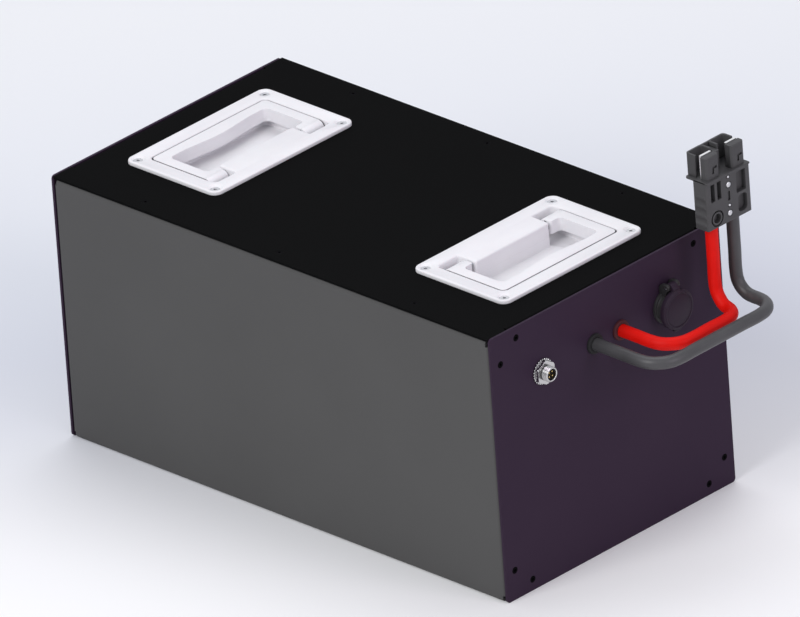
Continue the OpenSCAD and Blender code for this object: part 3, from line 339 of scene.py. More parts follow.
# What the carried-over solids are made of
worn = {
    "greyCoat": ["case_body"],
    "blackCoat": ["top_cover"],
    "darkCoatPaintedLavender": ["front_end_plate", "rear_end_plate"],
    # The end plates' plum tint is partly painted lavender light
    "blackScrew": ["case_screws"],
    "whiteNylon": ["handle_tray_front", "handle_tray_rear", "bail_front", "bail_rear"],
    "zincSteel": ["clinch_nuts", "bail_pins_front", "bail_pins_rear", "handle_screws", "handle_nuts",
                  "port_nut", "port_cap_pin", "tie_rods", "bms_bracket", "connector_rivets"],
    "nickel": ["data_socket_shell", "data_socket_washer", "data_socket_nut"],
    "blackPlastic": ["data_socket_insert", "port_body", "port_insert"],
    # The cap's plum tint is painted lavender light
    "capPlasticPaintedLavender": ["port_cap"],
    "gold": ["data_socket_pins", "port_pins"],
    "blackRubber": ["grommet_black"],
    "redRubber": ["grommet_red"],
    "copper": ["lead_tails", "busbars"],
    "greyPolycarbonate": ["connector_housing"],
    "silver": ["connector_contacts"],
    "cellFilm": ["cell_%02d" % number for number in range(1, 17)],
    "foam": ["base_pad", "side_pads"],
    "aluminium": ["clamp_plate_left", "clamp_plate_right", "bms_heatsink"],
    "laminate": ["insulation_plate"],
    "board": ["bms_board"],
    "ceramic": ["main_fuse"],
}
for name, nodes in worn.items():
    for node in nodes:
        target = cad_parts[node]
        target.data.materials.clear()
        target.data.materials.append(materials[name])
print("materials", len(materials))

placeCamera()

# Leads: where each leaves the plate, and its route from there, in millimetres as in the solids
leadShape = {"radius": 5.0, "roundSteps": 10, "lengthSteps": 10}
leads = {
    "red": {"start": (228, 13, 173), "node": "lead_red", "material": "redSilicone",
            "slot": "lead_sleeve_red", "points": [
                (0, 0, 0), (16.5, 0, 0), (33, 0, 0), (40.5, 1.5, 0), (47, 6, 0), (51.5, 12.5, 0),
                (53, 20, 0), (53, 39.5, 0), (53, 59.5, 0), (52, 64.5, 0), (49.5, 69, 0), (45.5, 72.5, 0),
                (40.5, 74.5, 0), (36, 75, 1), (31, 76, 4.5), (27.5, 76.5, 10), (26.5, 76.5, 16),
                (26.5, 76.5, 34.5), (26.5, 76.5, 53), (26.5, 76.5, 71.5)]},
    "black": {"start": (228, -15, 173), "node": "lead_black", "material": "greySilicone",
              "slot": "lead_sleeve_grey", "points": [
                  (0, 0, 0), (16, 0, 0), (32, 0, 0), (47.5, 0, 0), (55, 1.5, 0), (61.5, 6, 0),
                  (66, 12.5, 0), (67.5, 20, 0), (67.5, 37.5, 0), (67.5, 55.5, 0), (67.5, 73, 0),
                  (67.5, 91, 0), (67.5, 108.5, 0), (66, 116, 0), (62, 122, 0), (56, 126, 0),
                  (48.5, 127.5, 0), (42.5, 127.5, 0), (36.5, 127.5, 1), (31, 127.5, 4.5),
                  (27.5, 127.5, 10), (26.5, 127.5, 16), (26.5, 127.5, 34.5), (26.5, 127.5, 53),
                  (26.5, 127.5, 71.5)]},
}


def addLead(name, spec):
    points = [(Vector(spec["start"]) + Vector(p)) * mm for p in spec["points"]]
    curve = bpy.data.curves.new("lead_" + name + "_sleeve", "CURVE")
    curve.dimensions = "3D"
    curve.bevel_depth = leadShape["radius"] * mm
    curve.bevel_resolution = leadShape["roundSteps"]
    curve.resolution_u = leadShape["lengthSteps"]
    curve.use_fill_caps = True
    spline = curve.splines.new("BEZIER")
    spline.bezier_points.add(len(points) - 1)
    for knot, point in zip(spline.bezier_points, points):
        knot.co = point
        knot.handle_left_type = knot.handle_right_type = "AUTO"
    length = sum((b - a).length for a, b in zip(points, points[1:]))
    piece = bpy.data.objects.new("lead_" + name + "_sleeve", curve)
    bpy.context.scene.collection.objects.link(piece)
    curve.materials.append(materials[spec["material"]])
    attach(piece, "pack")
    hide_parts(spec["node"])
    return piece, points[0], length


sleeves = [addLead(name, spec) for name, spec in leads.items()]
print("leads")


# Outline of straight sides with round corners, given as (x, y, reach of the rounding)
def outline(corners, segments=8):
    flat = bmesh.new()
    verts = [flat.verts.new((x * mm, y * mm, 0)) for x, y, reach in corners]
    flat.faces.new(verts)
    for vert, corner in zip(verts, corners):
        if corner[2]:
            bmesh.ops.bevel(flat, geom=[vert], offset=corner[2] * mm, offset_type="OFFSET",
                            segments=segments, profile=0.5, affect="VERTICES", material=-1)
    flat.faces.ensure_lookup_table()
    points = [(vert.co.x / mm, vert.co.y / mm) for vert in flat.faces[0].verts]
    flat.free()
    return points


def plate(width, length, reach):
    x, y = width / 2, length / 2
    return outline([(x, -y, reach), (x, y, reach), (-x, y, reach), (-x, -y, reach)])


def addLoop(shape, points, height):
    verts = [shape.verts.new((x * mm, y * mm, height * mm)) for x, y in points]
    return [shape.edges.new((a, b)) for a, b in zip(verts, verts[1:] + verts[:1])]


def addCircle(shape, radius, height, centre=(0, 0), segments=32):
    place = Matrix.Translation(Vector((*centre, height)) * mm)
    made = bmesh.ops.create_circle(shape, segments=segments, radius=radius * mm, matrix=place)
    return list(dict.fromkeys(edge for vert in made["verts"] for edge in vert.link_edges))


def stackLoops(shape, loops):
    for low, high in zip(loops, loops[1:]):
        bmesh.ops.bridge_loops(shape, edges=low + high)


# Joins outlines with the same number of corners, edge by edge
def skinLoops(shape, loops):
    for low, high in zip(loops, loops[1:]):
        for a, b in zip(low, high):
            shape.faces.new((a.verts[0], a.verts[1], b.verts[1], b.verts[0]))


def fillBetween(shape, *loops):
    bmesh.ops.triangle_fill(shape, use_beauty=True, edges=[edge for loop in loops for edge in loop])


def fillLoop(shape, loop):
    bmesh.ops.edgeloop_fill(shape, edges=loop)


# Turns a profile of (radius, height) points round the Z axis
def turnProfile(shape, profile, steps=64, closed=True):
    turns = [math.tau * step / steps for step in range(steps)]
    lines = [[shape.verts.new((radius * math.cos(turn) * mm, radius * math.sin(turn) * mm, height * mm))
              for radius, height in profile] for turn in turns]
    for here, there in zip(lines, lines[1:] + lines[:1]):
        for i in range(-1 if closed else 0, len(profile) - 1):
            shape.faces.new((here[i], here[i + 1], there[i + 1], there[i]))


# Adds a finished part to a shape
def joinInto(shape, part, place=None):
    if place is not None:
        bmesh.ops.transform(part, matrix=place, verts=part.verts)
    mesh = bpy.data.meshes.new("part")
    part.to_mesh(mesh)
    part.free()
    shape.from_mesh(mesh)
    bpy.data.meshes.remove(mesh)


def raiseOutline(shape, points, low, high):
    addLoop(shape, points, low)
    bmesh.ops.contextual_create(shape, geom=shape.edges[:])
    raised = bmesh.ops.extrude_face_region(shape, geom=shape.faces[:])["geom"]
    bmesh.ops.translate(shape, vec=(0, 0, (high - low) * mm),
                        verts=[part for part in raised if isinstance(part, bmesh.types.BMVert)])
    bmesh.ops.recalc_face_normals(shape, faces=shape.faces)


# Extrudes an outline from low to high and rounds its two end faces
def addBlock(shape, corners, low, high, rounding, place=None, segments=2):
    block = bmesh.new()
    raiseOutline(block, outline(corners), low, high)
    ends = [edge for edge in block.edges if abs(edge.verts[0].co.z - edge.verts[1].co.z) < 0.01 * mm]
    bmesh.ops.bevel(block, geom=ends, offset=rounding * mm, segments=segments, profile=0.5, affect="EDGES",
                    clamp_overlap=True, material=-1)
    joinInto(shape, block, place)


# Puts a shape into the scene as a piece; edges bent by less than the angle are shaded smooth
def finishMesh(shape, name, material, body, replaces, angle=40, place=None):
    bmesh.ops.remove_doubles(shape, verts=shape.verts, dist=weldReach)
    if place is not None:
        bmesh.ops.transform(shape, matrix=place, verts=shape.verts)
    bmesh.ops.recalc_face_normals(shape, faces=shape.faces)
    for edge in shape.edges:
        edge.smooth = len(edge.link_faces) == 2 and edge.calc_face_angle(0) < math.radians(angle)
    for face in shape.faces:
        face.smooth = True
    mesh = bpy.data.meshes.new(name)
    shape.to_mesh(mesh)
    shape.free()
    mesh.materials.append(materials[material])
    piece = bpy.data.objects.new(name, mesh)
    bpy.context.scene.collection.objects.link(piece)
    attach(piece, body)
    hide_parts(*replaces)
    return piece


# Handles, in the frame of one handle: x towards the grip, y along the hinge. Outlines are given as
# (half width, half length, rounding), and the recess as (out, lip out, height, rounding) from the rim down
handleX = 0.150
tray = {"rim": (96.0, 152.0, 7.5), "cover": 220.0, "top": 223.0, "wall": (34.5, 62.5),
        "lip": (-16.0, 40.0), "lipRounds": (1.2, 2.5), "body": (74.0, 130.0, 6.0), "bottom": 200.5,
        "screws": (40.5, 68.5),
        "rimEdge": [(0.0, 220.0), (0.0, 222.0), (0.12, 222.45), (0.4, 222.8), (0.85, 223.0)],
        "recess": [(1.5, 1.5, 223.0, 6.0), (0.95, 0.95, 222.85, 5.5), (0.45, 0.45, 222.5, 5.0),
                   (0.12, 0.12, 222.0, 4.7), (0.0, 0.0, 221.4, 4.5), (0.0, 0.0, 212.0, 4.5),
                   (-0.5, -0.02, 211.4, 4.0), (-2.6, -0.05, 211.4, 4.0), (-3.0, -0.08, 211.0, 4.0),
                   (-3.0, -0.15, 205.0, 4.0), (-3.5, -0.6, 203.6, 3.5), (-4.8, -1.8, 203.0, 3.0)],
        "sink": [(5.5, 223.0), (5.2, 222.85), (2.5, 220.15), (2.35, 220.0)]}
bail = {"outer": (33.5, 61.5, 4.0), "pin": (-23.5, 217.1), "footEnd": 42.0, "footIn": -17.0, "leg": 52.2,
        "grip": 23.2, "swell": 3.0, "swellStart": 7.0, "swellEnd": 33.9, "low": 211.7, "top": 222.5,
        "innerBevel": 2.6, "outerBevel": 1.3, "rounds": (5.0, 5.0, 4.5, 4.0, 2.0),
        "barrel": [(2.05, 42.0), (4.6, 42.0), (5.15, 42.2), (5.4, 42.8), (5.4, 60.7), (5.15, 61.3),
                   (4.6, 61.5), (2.05, 61.5)]}


def recessOutline(out, lip, reach):
    u, v = tray["wall"][0] + out, tray["wall"][1] + out
    lipU, lipV = tray["lip"][0] - lip, tray["lip"][1] - lip
    root, tip = tray["lipRounds"]
    return outline([(u, -v, reach), (u, v, reach), (-u, v, reach), (-u, lipV, root), (lipU, lipV, tip),
                    (lipU, -lipV, tip), (-u, -lipV, root), (-u, -v, reach)])


def makeTray(name, node, place):
    shape = bmesh.new()
    width, length, reach = tray["rim"]
    rim = [addLoop(shape, plate(width - 2 * e, length - 2 * e, reach - e), z) for e, z in tray["rimEdge"]]
    recess = [addLoop(shape, recessOutline(out, lip, reach), z) for out, lip, z, reach in tray["recess"]]
    skinLoops(shape, rim)
    skinLoops(shape, recess)
    fillLoop(shape, recess[-1])
    mouths, ends = [], []
    for su, sv in signs:
        centre = (su * tray["screws"][0], sv * tray["screws"][1])
        sink = [addCircle(shape, radius, z, centre) for radius, z in tray["sink"]]
        stackLoops(shape, sink)
        mouths.append(sink[0])
        ends.append(sink[-1])
    fillBetween(shape, rim[-1], recess[0], *mouths)
    skirt = [addLoop(shape, plate(*tray["body"]), z) for z in (tray["cover"], tray["bottom"])]
    skinLoops(shape, skirt)
    fillLoop(shape, skirt[-1])
    fillBetween(shape, rim[0], skirt[0], *ends)
    finishMesh(shape, name, "whiteNylon", "pack", [node], angle=35, place=place)


def makeBail(name, body, node, place):
    shape = bmesh.new()
    u, v, reach = bail["outer"]
    pinU, pinZ = bail["pin"]
    footEnd, footIn, leg, grip = bail["footEnd"], bail["footIn"], bail["leg"], bail["grip"]
    inner = [(grip - bail["swell"], bail["swellStart"]), (grip, bail["swellEnd"]), (grip, leg), (footIn, leg),
             (footIn, footEnd)]
    half = [(*corner, rounding) for corner, rounding in zip(inner, bail["rounds"])]
    half += [(pinU, footEnd, 0.0), (pinU, v, 0.0), (u, v, reach)]
    mirrored = [(x, -y, rounding) for x, y, rounding in reversed(half)]
    raiseOutline(shape, outline(half + mirrored), bail["low"], bail["top"])

    def flatAt(edge, height):
        return all(abs(vert.co.z / mm - height) < 0.01 for vert in edge.verts)

    def atHinge(edge):
        return all(abs(vert.co.x / mm - pinU) < 0.05 for vert in edge.verts)

    def inside(edge):
        return all(footIn + 1 < vert.co.x / mm < u - 5 and abs(vert.co.y / mm) < leg + 0.5
                   for vert in edge.verts)

    upper = [edge for edge in shape.edges if flatAt(edge, bail["top"]) and inside(edge)]
    rest = [edge for edge in shape.edges if edge not in upper and not atHinge(edge)
            and (flatAt(edge, bail["top"]) or flatAt(edge, bail["low"]))]
    for edges, offset, segments in ((upper, bail["innerBevel"], 1), (rest, bail["outerBevel"], 3)):
        bmesh.ops.bevel(shape, geom=[edge for edge in edges if edge.is_valid], offset=offset * mm,
                        segments=segments, profile=0.5, affect="EDGES", clamp_overlap=True, material=-1)
    for side in (-1, 1):
        foot = bmesh.new()
        turnProfile(foot, bail["barrel"], 48)
        turn = Matrix.Rotation(-side * math.pi / 2, 4, "X")
        joinInto(shape, foot, Matrix.Translation((pinU * mm, 0, pinZ * mm)) @ turn)
    finishMesh(shape, name, "whiteNylon", body, [node], angle=38, place=place)


for side, body, turn in (("front", "front_bail", 0), ("rear", "rear_bail", math.pi)):
    place = Matrix.Rotation(turn, 4, "Z") @ Matrix.Translation((handleX, 0, 0))
    makeTray("handle_" + side + "_tray", "handle_tray_" + side, place)
    makeBail("handle_" + side + "_bail", body, "bail_" + side, place)
print("handles")

# Fittings on the front plate, each turned or cut round its own axis; profiles are (radius, height)
fittings = {"face": 228.0, "height": 173.0, "socketY": -71.0, "portY": 63.0, "socketTurn": 30.0,
            "collar": [(5.05, -4.5), (5.05, 2.2), (5.35, 2.5), (6.1, 2.5), (6.3, 2.3), (6.5, 2.5),
                       (7.1, 2.45), (7.7, 2.1), (8.0, 1.4), (8.0, 0.0), (6.5, 0.0), (6.5, -2.0), (8.0, -2.0),
                       (8.0, -3.6), (7.6, -4.3), (7.0, -4.5)],
            "mouth": [(0.0, 2.0), (4.5, 2.0), (4.5, 9.7), (4.75, 10.0), (5.35, 10.0), (5.62, 9.75)],
            "neck": [(5.7, 4.85), (5.7, -2.0), (8.5, -2.0), (8.5, -4.0), (5.7, -4.0), (5.7, -15.0),
                     (5.3, -16.0), (4.0, -16.0), (4.0, -6.0), (0.0, -6.0)],
            "threadStart": 9.7, "threadPitch": 0.8, "threadTurns": 6, "threadOuter": 6.0,
            "threadRoot": 5.62, "nutFlats": 17.4, "nutFaces": (1.2, 4.4), "nutRound": 1.3, "bore": 5.75,
            "washer": 10.5, "washerFaces": (0.02, 1.2), "washerChamfer": 0.2, "washerTeeth": 28,
            "washerBite": 0.9}


def spot(x, y, z):
    return Matrix.Translation(Vector((x, y, z)) * mm)


def alongX(y, turn=0.0):
    place = spot(fittings["face"], y, fittings["height"]) @ Matrix.Rotation(math.pi / 2, 4, "Y")
    return place @ Matrix.Rotation(turn, 4, "Z")


for name, material, slot in (("black", "blackRubber", "rubber_black"), ("red", "redRubber", "rubber_red")):
    shape = bmesh.new()
    turnProfile(shape, fittings["collar"], 72)
    finishMesh(shape, "grommet_collar_" + name, material, "pack", ["grommet_" + name],
               angle=50, place=alongX(leads[name]["start"][1]))


# Ridges in place of a thread: each one's root, crest, crest and root, as shares of the pitch
ridgeSteps = (0.12, 0.44, 0.62, 0.94)


def threadRidges(spec):
    outer, root, pitch = spec["threadOuter"], spec["threadRoot"], spec["threadPitch"]
    ridges = []
    for turn in range(spec["threadTurns"]):
        top = spec["threadStart"] - turn * pitch
        ridges += [(radius, top - share * pitch)
                   for radius, share in zip((root, outer, outer, root), ridgeSteps)]
    return ridges


def makeSocket():
    place = alongX(fittings["socketY"], math.radians(fittings["socketTurn"]))
    shape = bmesh.new()
    turnProfile(shape, fittings["mouth"] + threadRidges(fittings) + fittings["neck"], 72, closed=False)
    finishMesh(shape, "socket_barrel", "nickel", "pack", ["data_socket_shell"],
               angle=35, place=place)

    shape = bmesh.new()
    low, high = fittings["nutFaces"]
    corner = fittings["nutFlats"] / 2 / math.cos(math.pi / 6)
    hexes = [addCircle(shape, corner, z, segments=6) for z in (low, high)]
    bores = [addCircle(shape, fittings["bore"], z, segments=48) for z in (low, high)]
    stackLoops(shape, hexes)
    stackLoops(shape, bores)
    fillBetween(shape, hexes[0], bores[0])
    fillBetween(shape, hexes[1], bores[1])
    bmesh.ops.recalc_face_normals(shape, faces=shape.faces)
    tips = [vert for vert in shape.verts if vert.co.xy.length > (corner - 0.1) * mm]
    bmesh.ops.bevel(shape, geom=tips, offset=fittings["nutRound"] * mm, segments=4, profile=0.4,
                    affect="VERTICES", clamp_overlap=True, material=-1)
    finishMesh(shape, "socket_nut", "nickel", "pack", ["data_socket_nut"], angle=25, place=place)

    shape = bmesh.new()
    outer, bore, chamfer = fittings["washer"], fittings["bore"], fittings["washerChamfer"]
    low, high = fittings["washerFaces"]
    steps = fittings["washerTeeth"] * 4
    turnProfile(shape, [(bore, low), (outer, low), (outer, high - chamfer), (outer - chamfer, high),
                        (bore, high)], steps)
    for vert in shape.verts:
        step = round((math.atan2(vert.co.y, vert.co.x) % math.tau) / math.tau * steps) % 4
        if step in (0, 1) and vert.co.xy.length > (outer - 0.5) * mm:
            vert.co.xy *= 1 - fittings["washerBite"] / outer
    finishMesh(shape, "socket_washer", "nickel", "pack", ["data_socket_washer"],
               angle=30, place=place)


makeSocket()

# Charging port and flip cap: x down the plate, y across it and z out of it
port = {"mouth": [(0.0, -4.0), (7.5, -4.0), (7.5, 7.8), (7.9, 8.2), (12.0, 8.2), (12.5, 7.8), (12.5, 6.7),
                  (12.0, 6.3), (12.0, 5.6), (12.5, 5.2), (12.5, 3.0), (12.8, 2.5), (13.4, 2.5),
                  (13.85, 2.2), (14.0, 1.7), (14.0, 0.0), (10.0, 0.0), (10.0, -2.0)],
        "threadStart": -2.2, "threadPitch": 1.5, "threadTurns": 9, "threadOuter": 10.0, "threadRoot": 9.3,
        "tail": [(9.3, -16.0), (8.0, -16.0), (8.0, -8.0), (0.0, -8.0)],
        "ear": [(-9.5, 0.0, 0), (-9.5, 6.6, 0), (-15.4, 7.2, 1.0), (-16.0, 9.5, 2.0), (-21.0, 9.5, 2.3),
                (-21.0, 2.2, 1.6), (-18.2, 0.0, 1.0)],
        "ears": ((-6.5, -3.5), (3.5, 6.5)), "earRound": 0.5,
        "lid": [(0.0, 13.72), (12.3, 13.72), (12.6, 13.62), (12.75, 13.45), (12.95, 13.45), (13.1, 13.62),
                (13.3, 13.9), (13.6, 14.0), (14.2, 14.0), (14.6, 13.8), (14.8, 13.4), (14.9, 13.1),
                (15.4, 12.95), (15.7, 12.65), (15.8, 12.2), (15.8, 9.1), (15.65, 8.7), (15.2, 8.5),
                (7.4, 8.5), (7.1, 8.2), (7.1, 7.4), (6.7, 6.95), (0.0, 6.95)],
        "knuckle": [(-12.5, 12.6, 0), (-17.6, 12.6, 1.6), (-21.0, 9.4, 1.6), (-21.0, 4.5, 2.2),
                    (-16.0, 4.5, 2.2), (-15.7, 8.6, 0.5), (-12.5, 8.7, 0)],
        "knuckleHalf": 3.2, "knuckleRound": 0.4,
        "tab": [(13.5, -4.0, 0), (18.3, -4.0, 1.6), (18.3, 4.0, 1.6), (13.5, 4.0, 0)],
        "tabFaces": (8.6, 11.0), "tabRound": 0.6}


def makePort():
    place = alongX(fittings["portY"])
    upright = Matrix.Rotation(math.pi / 2, 4, "X")
    shape = bmesh.new()
    turnProfile(shape, port["mouth"] + threadRidges(port) + port["tail"], 96, closed=False)
    for low, high in port["ears"]:
        addBlock(shape, port["ear"], low, high, port["earRound"], upright)
    finishMesh(shape, "port_socket", "blackPlastic", "pack", ["port_body"],
               angle=38, place=place)

    shape = bmesh.new()
    turnProfile(shape, port["lid"], 96, closed=False)
    half = port["knuckleHalf"]
    addBlock(shape, port["knuckle"], -half, half, port["knuckleRound"], upright)
    addBlock(shape, port["tab"], *port["tabFaces"], port["tabRound"])
    finishMesh(shape, "port_lid", "capPlasticPaintedLavender", "flip_cap", ["port_cap"], angle=38, place=place)


makePort()

# Two-pole connector: u across the poles, v up and w out of the front face. Levels are (w, inset, bulge
# of the ribs, trim at the foot), and a window is (low corner, high corner, rounding, depth)
connector = {
    "origin": (255.5, 101.0, 238.5), "height": 40.1, "half": 23.5, "front": 8.5,
    "levels": [(-8.5, 3.9, 0, 0.6), (-8.2, 3.3, 0, 0.2), (-5.0, 0.1, 0, 0.0), (-4.6, 0.0, 0, 0.0),
               (-4.1, 0.0, 1, 0.0), (6.3, 0.0, 1, 0.0), (6.8, 0.0, 0, 0.0), (7.3, 0.05, 0, 0.0),
               (8.2, 0.8, 0, 0.15), (8.5, 1.3, 0, 0.5)],
    "ribs": {"first": 4.2, "pitch": 7.6, "count": 4, "radius": 4.1, "proud": 0.7},
    "windows": [((-19.0, 22.5), (-14.8, 37.0), 0.5, 4.0), ((-12.2, 22.5), (-8.0, 37.0), 0.5, 4.0),
                ((8.4, 20.0), (18.4, 37.0), 0.8, 4.0), ((9.25, 3.5), (18.75, 17.5), 3.0, 4.0),
                ((-1.2, 17.5), (1.2, 25.0), 0.4, 1.4)], "windowChamfer": 0.25,
    "entry": [(6.8, 8.5), (6.5, 8.2), (6.4, 7.0), (5.4, 7.0), (5.3, 8.2), (5.05, 8.5), (4.1, 8.5),
              (3.8, 8.2), (3.75, 4.5)], "entryAt": (-13.6, 7.7),
    "rivets": [(7.0, 2.3), (13.5, 1.1), (30.5, 2.3), (37.0, 1.1)], "rivetSeat": (0.5, 0.9),
    "rivetHead": [(0.0, 9.05), (0.35, 9.02), (0.7, 8.9), (0.93, 8.68), (1.0, 8.4), (1.0, 7.5), (0.0, 7.5)],
    "ledge": [(-13.5, -23.5, 2.5), (9.0, -23.5, 0.8), (9.0, 23.5, 0.8), (-13.5, 23.5, 2.5)],
    "ledgeFaces": (38.9, 40.5), "ledgeRound": 0.4, "bedding": 0.7,
    "hoodWidth": 17.5, "hoodWall": 1.8, "hoodBack": -14.5, "hoodFront": -4.5,
    "hoodCorners": (0.5, 1.6, 3.0), "hoodRound": 0.35,
    "poleOut": 20.6, "top": 59.0, "tongueWidth": 14.0,
    "tongue": [(0.6, 0.4, 0.4), (1.0, 0.0, 0.0), (5.4, 0.0, 0.0), (6.3, 0.75, 0.3), (6.8, 1.3, 0.8),
               (7.0, 1.8, 1.2)],
    "notch": [(6.0, 44.5, 0), (8.0, 44.5, 0), (8.0, 48.5, 0), (11.0, 48.5, 0), (11.0, 50.5, 0),
              (6.0, 50.5, 0)], "notchDepth": 1.0, "notchChamfer": 0.1,
    "fin": [(-13.0, -2.4, 0.6), (-1.0, -2.4, 1.6), (-1.0, 2.4, 1.6), (-13.0, 2.4, 0.6)],
    "finFaces": (39.5, 56.0), "finRound": 0.5,
    "bridge": [(-14.4, -6.0, 0.3), (-12.8, -6.0, 0.3), (-12.8, 6.0, 0.3), (-14.4, 6.0, 0.3)],
    "bridgeFaces": (39.5, 58.9), "bridgeRound": 0.3}


def shellOutline(inset, bulge, trim):
    ribs = connector["ribs"]
    radius, proud = ribs["radius"], ribs["proud"]
    reach = math.acos(1 - proud / radius)
    side = [(0.0, trim)]
    for rib in range(ribs["count"]):
        for step in range(-3, 4):
            turn = reach * step / 3
            side.append((bulge * (radius * math.cos(turn) - radius + proud),
                         ribs["first"] + ribs["pitch"] * rib + radius * math.sin(turn)))
    side.append((0.0, connector["height"]))
    half = connector["half"] - inset
    return [(half + out, v) for out, v in side] + [(-half - out, v) for out, v in reversed(side)]


# A recess with a small chamfer round its mouth, which it returns
def addRecess(shape, corners, face, depth, chamfer):
    centreU = sum(corner[0] for corner in corners) / len(corners)
    centreV = sum(corner[1] for corner in corners) / len(corners)
    wide = [(u + math.copysign(chamfer, u - centreU), v + math.copysign(chamfer, v - centreV), reach)
            for u, v, reach in corners]
    loops = [addLoop(shape, outline(points, 4), w)
             for points, w in ((wide, face), (corners, face - chamfer), (corners, face - depth))]
    skinLoops(shape, loops)
    fillLoop(shape, loops[-1])
    return loops[0]


def rectangle(low, high, reach):
    return [(low[0], low[1], reach), (high[0], low[1], reach), (high[0], high[1], reach),
            (low[0], high[1], reach)]


def makeConnector():
    origin = Vector(connector["origin"]) * mm
    plan = Matrix.Translation(origin)
    faced = plan @ Matrix(((0, 0, 1, 0), (1, 0, 0, 0), (0, 1, 0, 0), (0, 0, 0, 1)))
    front = connector["front"]
    shape = bmesh.new()
    lower = bmesh.new()
    levels = [addLoop(lower, shellOutline(inset, bulge, trim), w)
              for w, inset, bulge, trim in connector["levels"]]
    skinLoops(lower, levels)
    fillLoop(lower, levels[0])
    mouths = [addRecess(lower, rectangle(low, high, reach), front, depth, connector["windowChamfer"])
              for low, high, reach, depth in connector["windows"]]
    entry = [addCircle(lower, radius, w, connector["entryAt"]) for radius, w in connector["entry"]]
    stackLoops(lower, entry)
    fillLoop(lower, entry[-1])
    mouths.append(entry[0])
    gap, sink = connector["rivetSeat"]
    for v, radius in connector["rivets"]:
        seat = [addCircle(lower, radius + gap, w, (0.0, v)) for w in (front, front - sink)]
        stackLoops(lower, seat)
        fillLoop(lower, seat[-1])
        mouths.append(seat[0])
    fillBetween(lower, levels[-1], *mouths)
    joinInto(shape, lower, faced)
    for name in ("ledge", "fin", "bridge"):
        addBlock(shape, connector[name], *connector[name + "Faces"], connector[name + "Round"], plan)
    wall, back, mouth, top = (connector[key] for key in ("hoodWall", "hoodBack", "hoodFront", "top"))
    tip, within, outside = connector["hoodCorners"]
    base = connector["ledgeFaces"][1] - connector["bedding"]
    out, width = connector["poleOut"], connector["tongueWidth"]
    for side in (-1, 1):
        near = -out if side < 0 else out - connector["hoodWidth"]
        far = near + connector["hoodWidth"]
        hood = [(mouth, near, tip), (mouth, near + wall, tip), (back + wall, near + wall, within),
                (back + wall, far - wall, within), (mouth, far - wall, tip), (mouth, far, tip),
                (back, far, outside), (back, near, outside)]
        addBlock(shape, hood, base, top, connector["hoodRound"], plan)
        edge = -out if side < 0 else out - width
        tongue = bmesh.new()
        rows = []
        for w, inset, drop in connector["tongue"]:
            corners = rectangle((edge + inset, base), (edge + width - inset, top - drop), 0)
            rows.append(addLoop(tongue, outline(corners), w))
        skinLoops(tongue, rows)
        fillLoop(tongue, rows[0])
        notch = addRecess(tongue, [(edge + u, v, reach) for u, v, reach in connector["notch"]],
                          connector["tongue"][-1][0], connector["notchDepth"], connector["notchChamfer"])
        fillBetween(tongue, rows[-1], notch)
        joinInto(shape, tongue, faced)
    shell = finishMesh(shape, "connector_shell", "greyPolycarbonate", "pack",
                       ["connector_housing"], angle=32)

    shape = bmesh.new()
    for v, radius in connector["rivets"]:
        head = bmesh.new()
        turnProfile(head, [(radius * share, w) for share, w in connector["rivetHead"]], 32, closed=False)
        joinInto(shape, head, faced @ spot(0.0, v, 0.0))
    finishMesh(shape, "connector_rivet_set", "zincSteel", "pack", ["connector_rivets"])
    return shell


shell = makeConnector()

# Countersunk screws with a hexagon recess; a head's rim is (chamfer, foot of the rim)
screws = {"case": {"head": 2.8, "shank": 1.5, "sink": 1.4, "length": 7.9, "drive": 1.2, "depth": 1.1},
          "handle": {"head": 3.8, "shank": 2.0, "sink": 1.8, "length": 14.0, "drive": 1.5, "depth": 1.5},
          "coverX": (-140.0, 0.0, 140.0), "coverY": 112.5, "coverTop": 219.9, "plateX": 227.9,
          "plate": ((114.0, 24.0), (114.0, 196.0), (96.0, 9.0), (96.0, 211.0)), "trayTop": 221.6,
          "rim": (0.12, 0.25), "point": 0.5}


def addScrew(shape, spec, place):
    one = bmesh.new()
    head, shank, length = spec["head"], spec["shank"], spec["length"]
    chamfer, foot = screws["rim"]
    point = screws["point"]
    turnProfile(one, [(head - chamfer, 0.0), (head, -chamfer), (head, -foot), (shank, -spec["sink"]),
                      (shank, point - length), (shank - point, -length)], 24, closed=False)
    ends = [edge for edge in one.edges if edge.is_boundary]
    top = [edge for edge in ends if edge.verts[0].co.z > -foot * mm]
    tip = [edge for edge in ends if edge not in top]
    drive = [addCircle(one, spec["drive"], z, segments=6) for z in (0.0, -spec["depth"])]
    stackLoops(one, drive)
    fillBetween(one, top, drive[0])
    fillLoop(one, drive[1])
    fillLoop(one, tip)
    joinInto(shape, one, place)


def makeScrews(name, kind, material, node, places):
    shape = bmesh.new()
    for place in places:
        addScrew(shape, screws[kind], place)
    finishMesh(shape, name, material, "pack", [node], angle=35)


casePlaces = [spot(x, sy * screws["coverY"], screws["coverTop"]) for sy in (-1, 1) for x in screws["coverX"]]
casePlaces += [spot(sx * screws["plateX"], sy * y, z) @ Matrix.Rotation(sx * math.pi / 2, 4, "Y")
               for sx, sy in signs for y, z in screws["plate"]]
makeScrews("case_screw_set", "case", "blackScrew", "case_screws", casePlaces)
across, along = tray["screws"]
handlePlaces = [spot(sx * handleX / mm + su * across, sv * along, screws["trayTop"])
                for sx in (-1, 1) for su, sv in signs]
makeScrews("handle_screw_set", "handle", "zincSteel", "handle_screws", handlePlaces)
print("fittings")


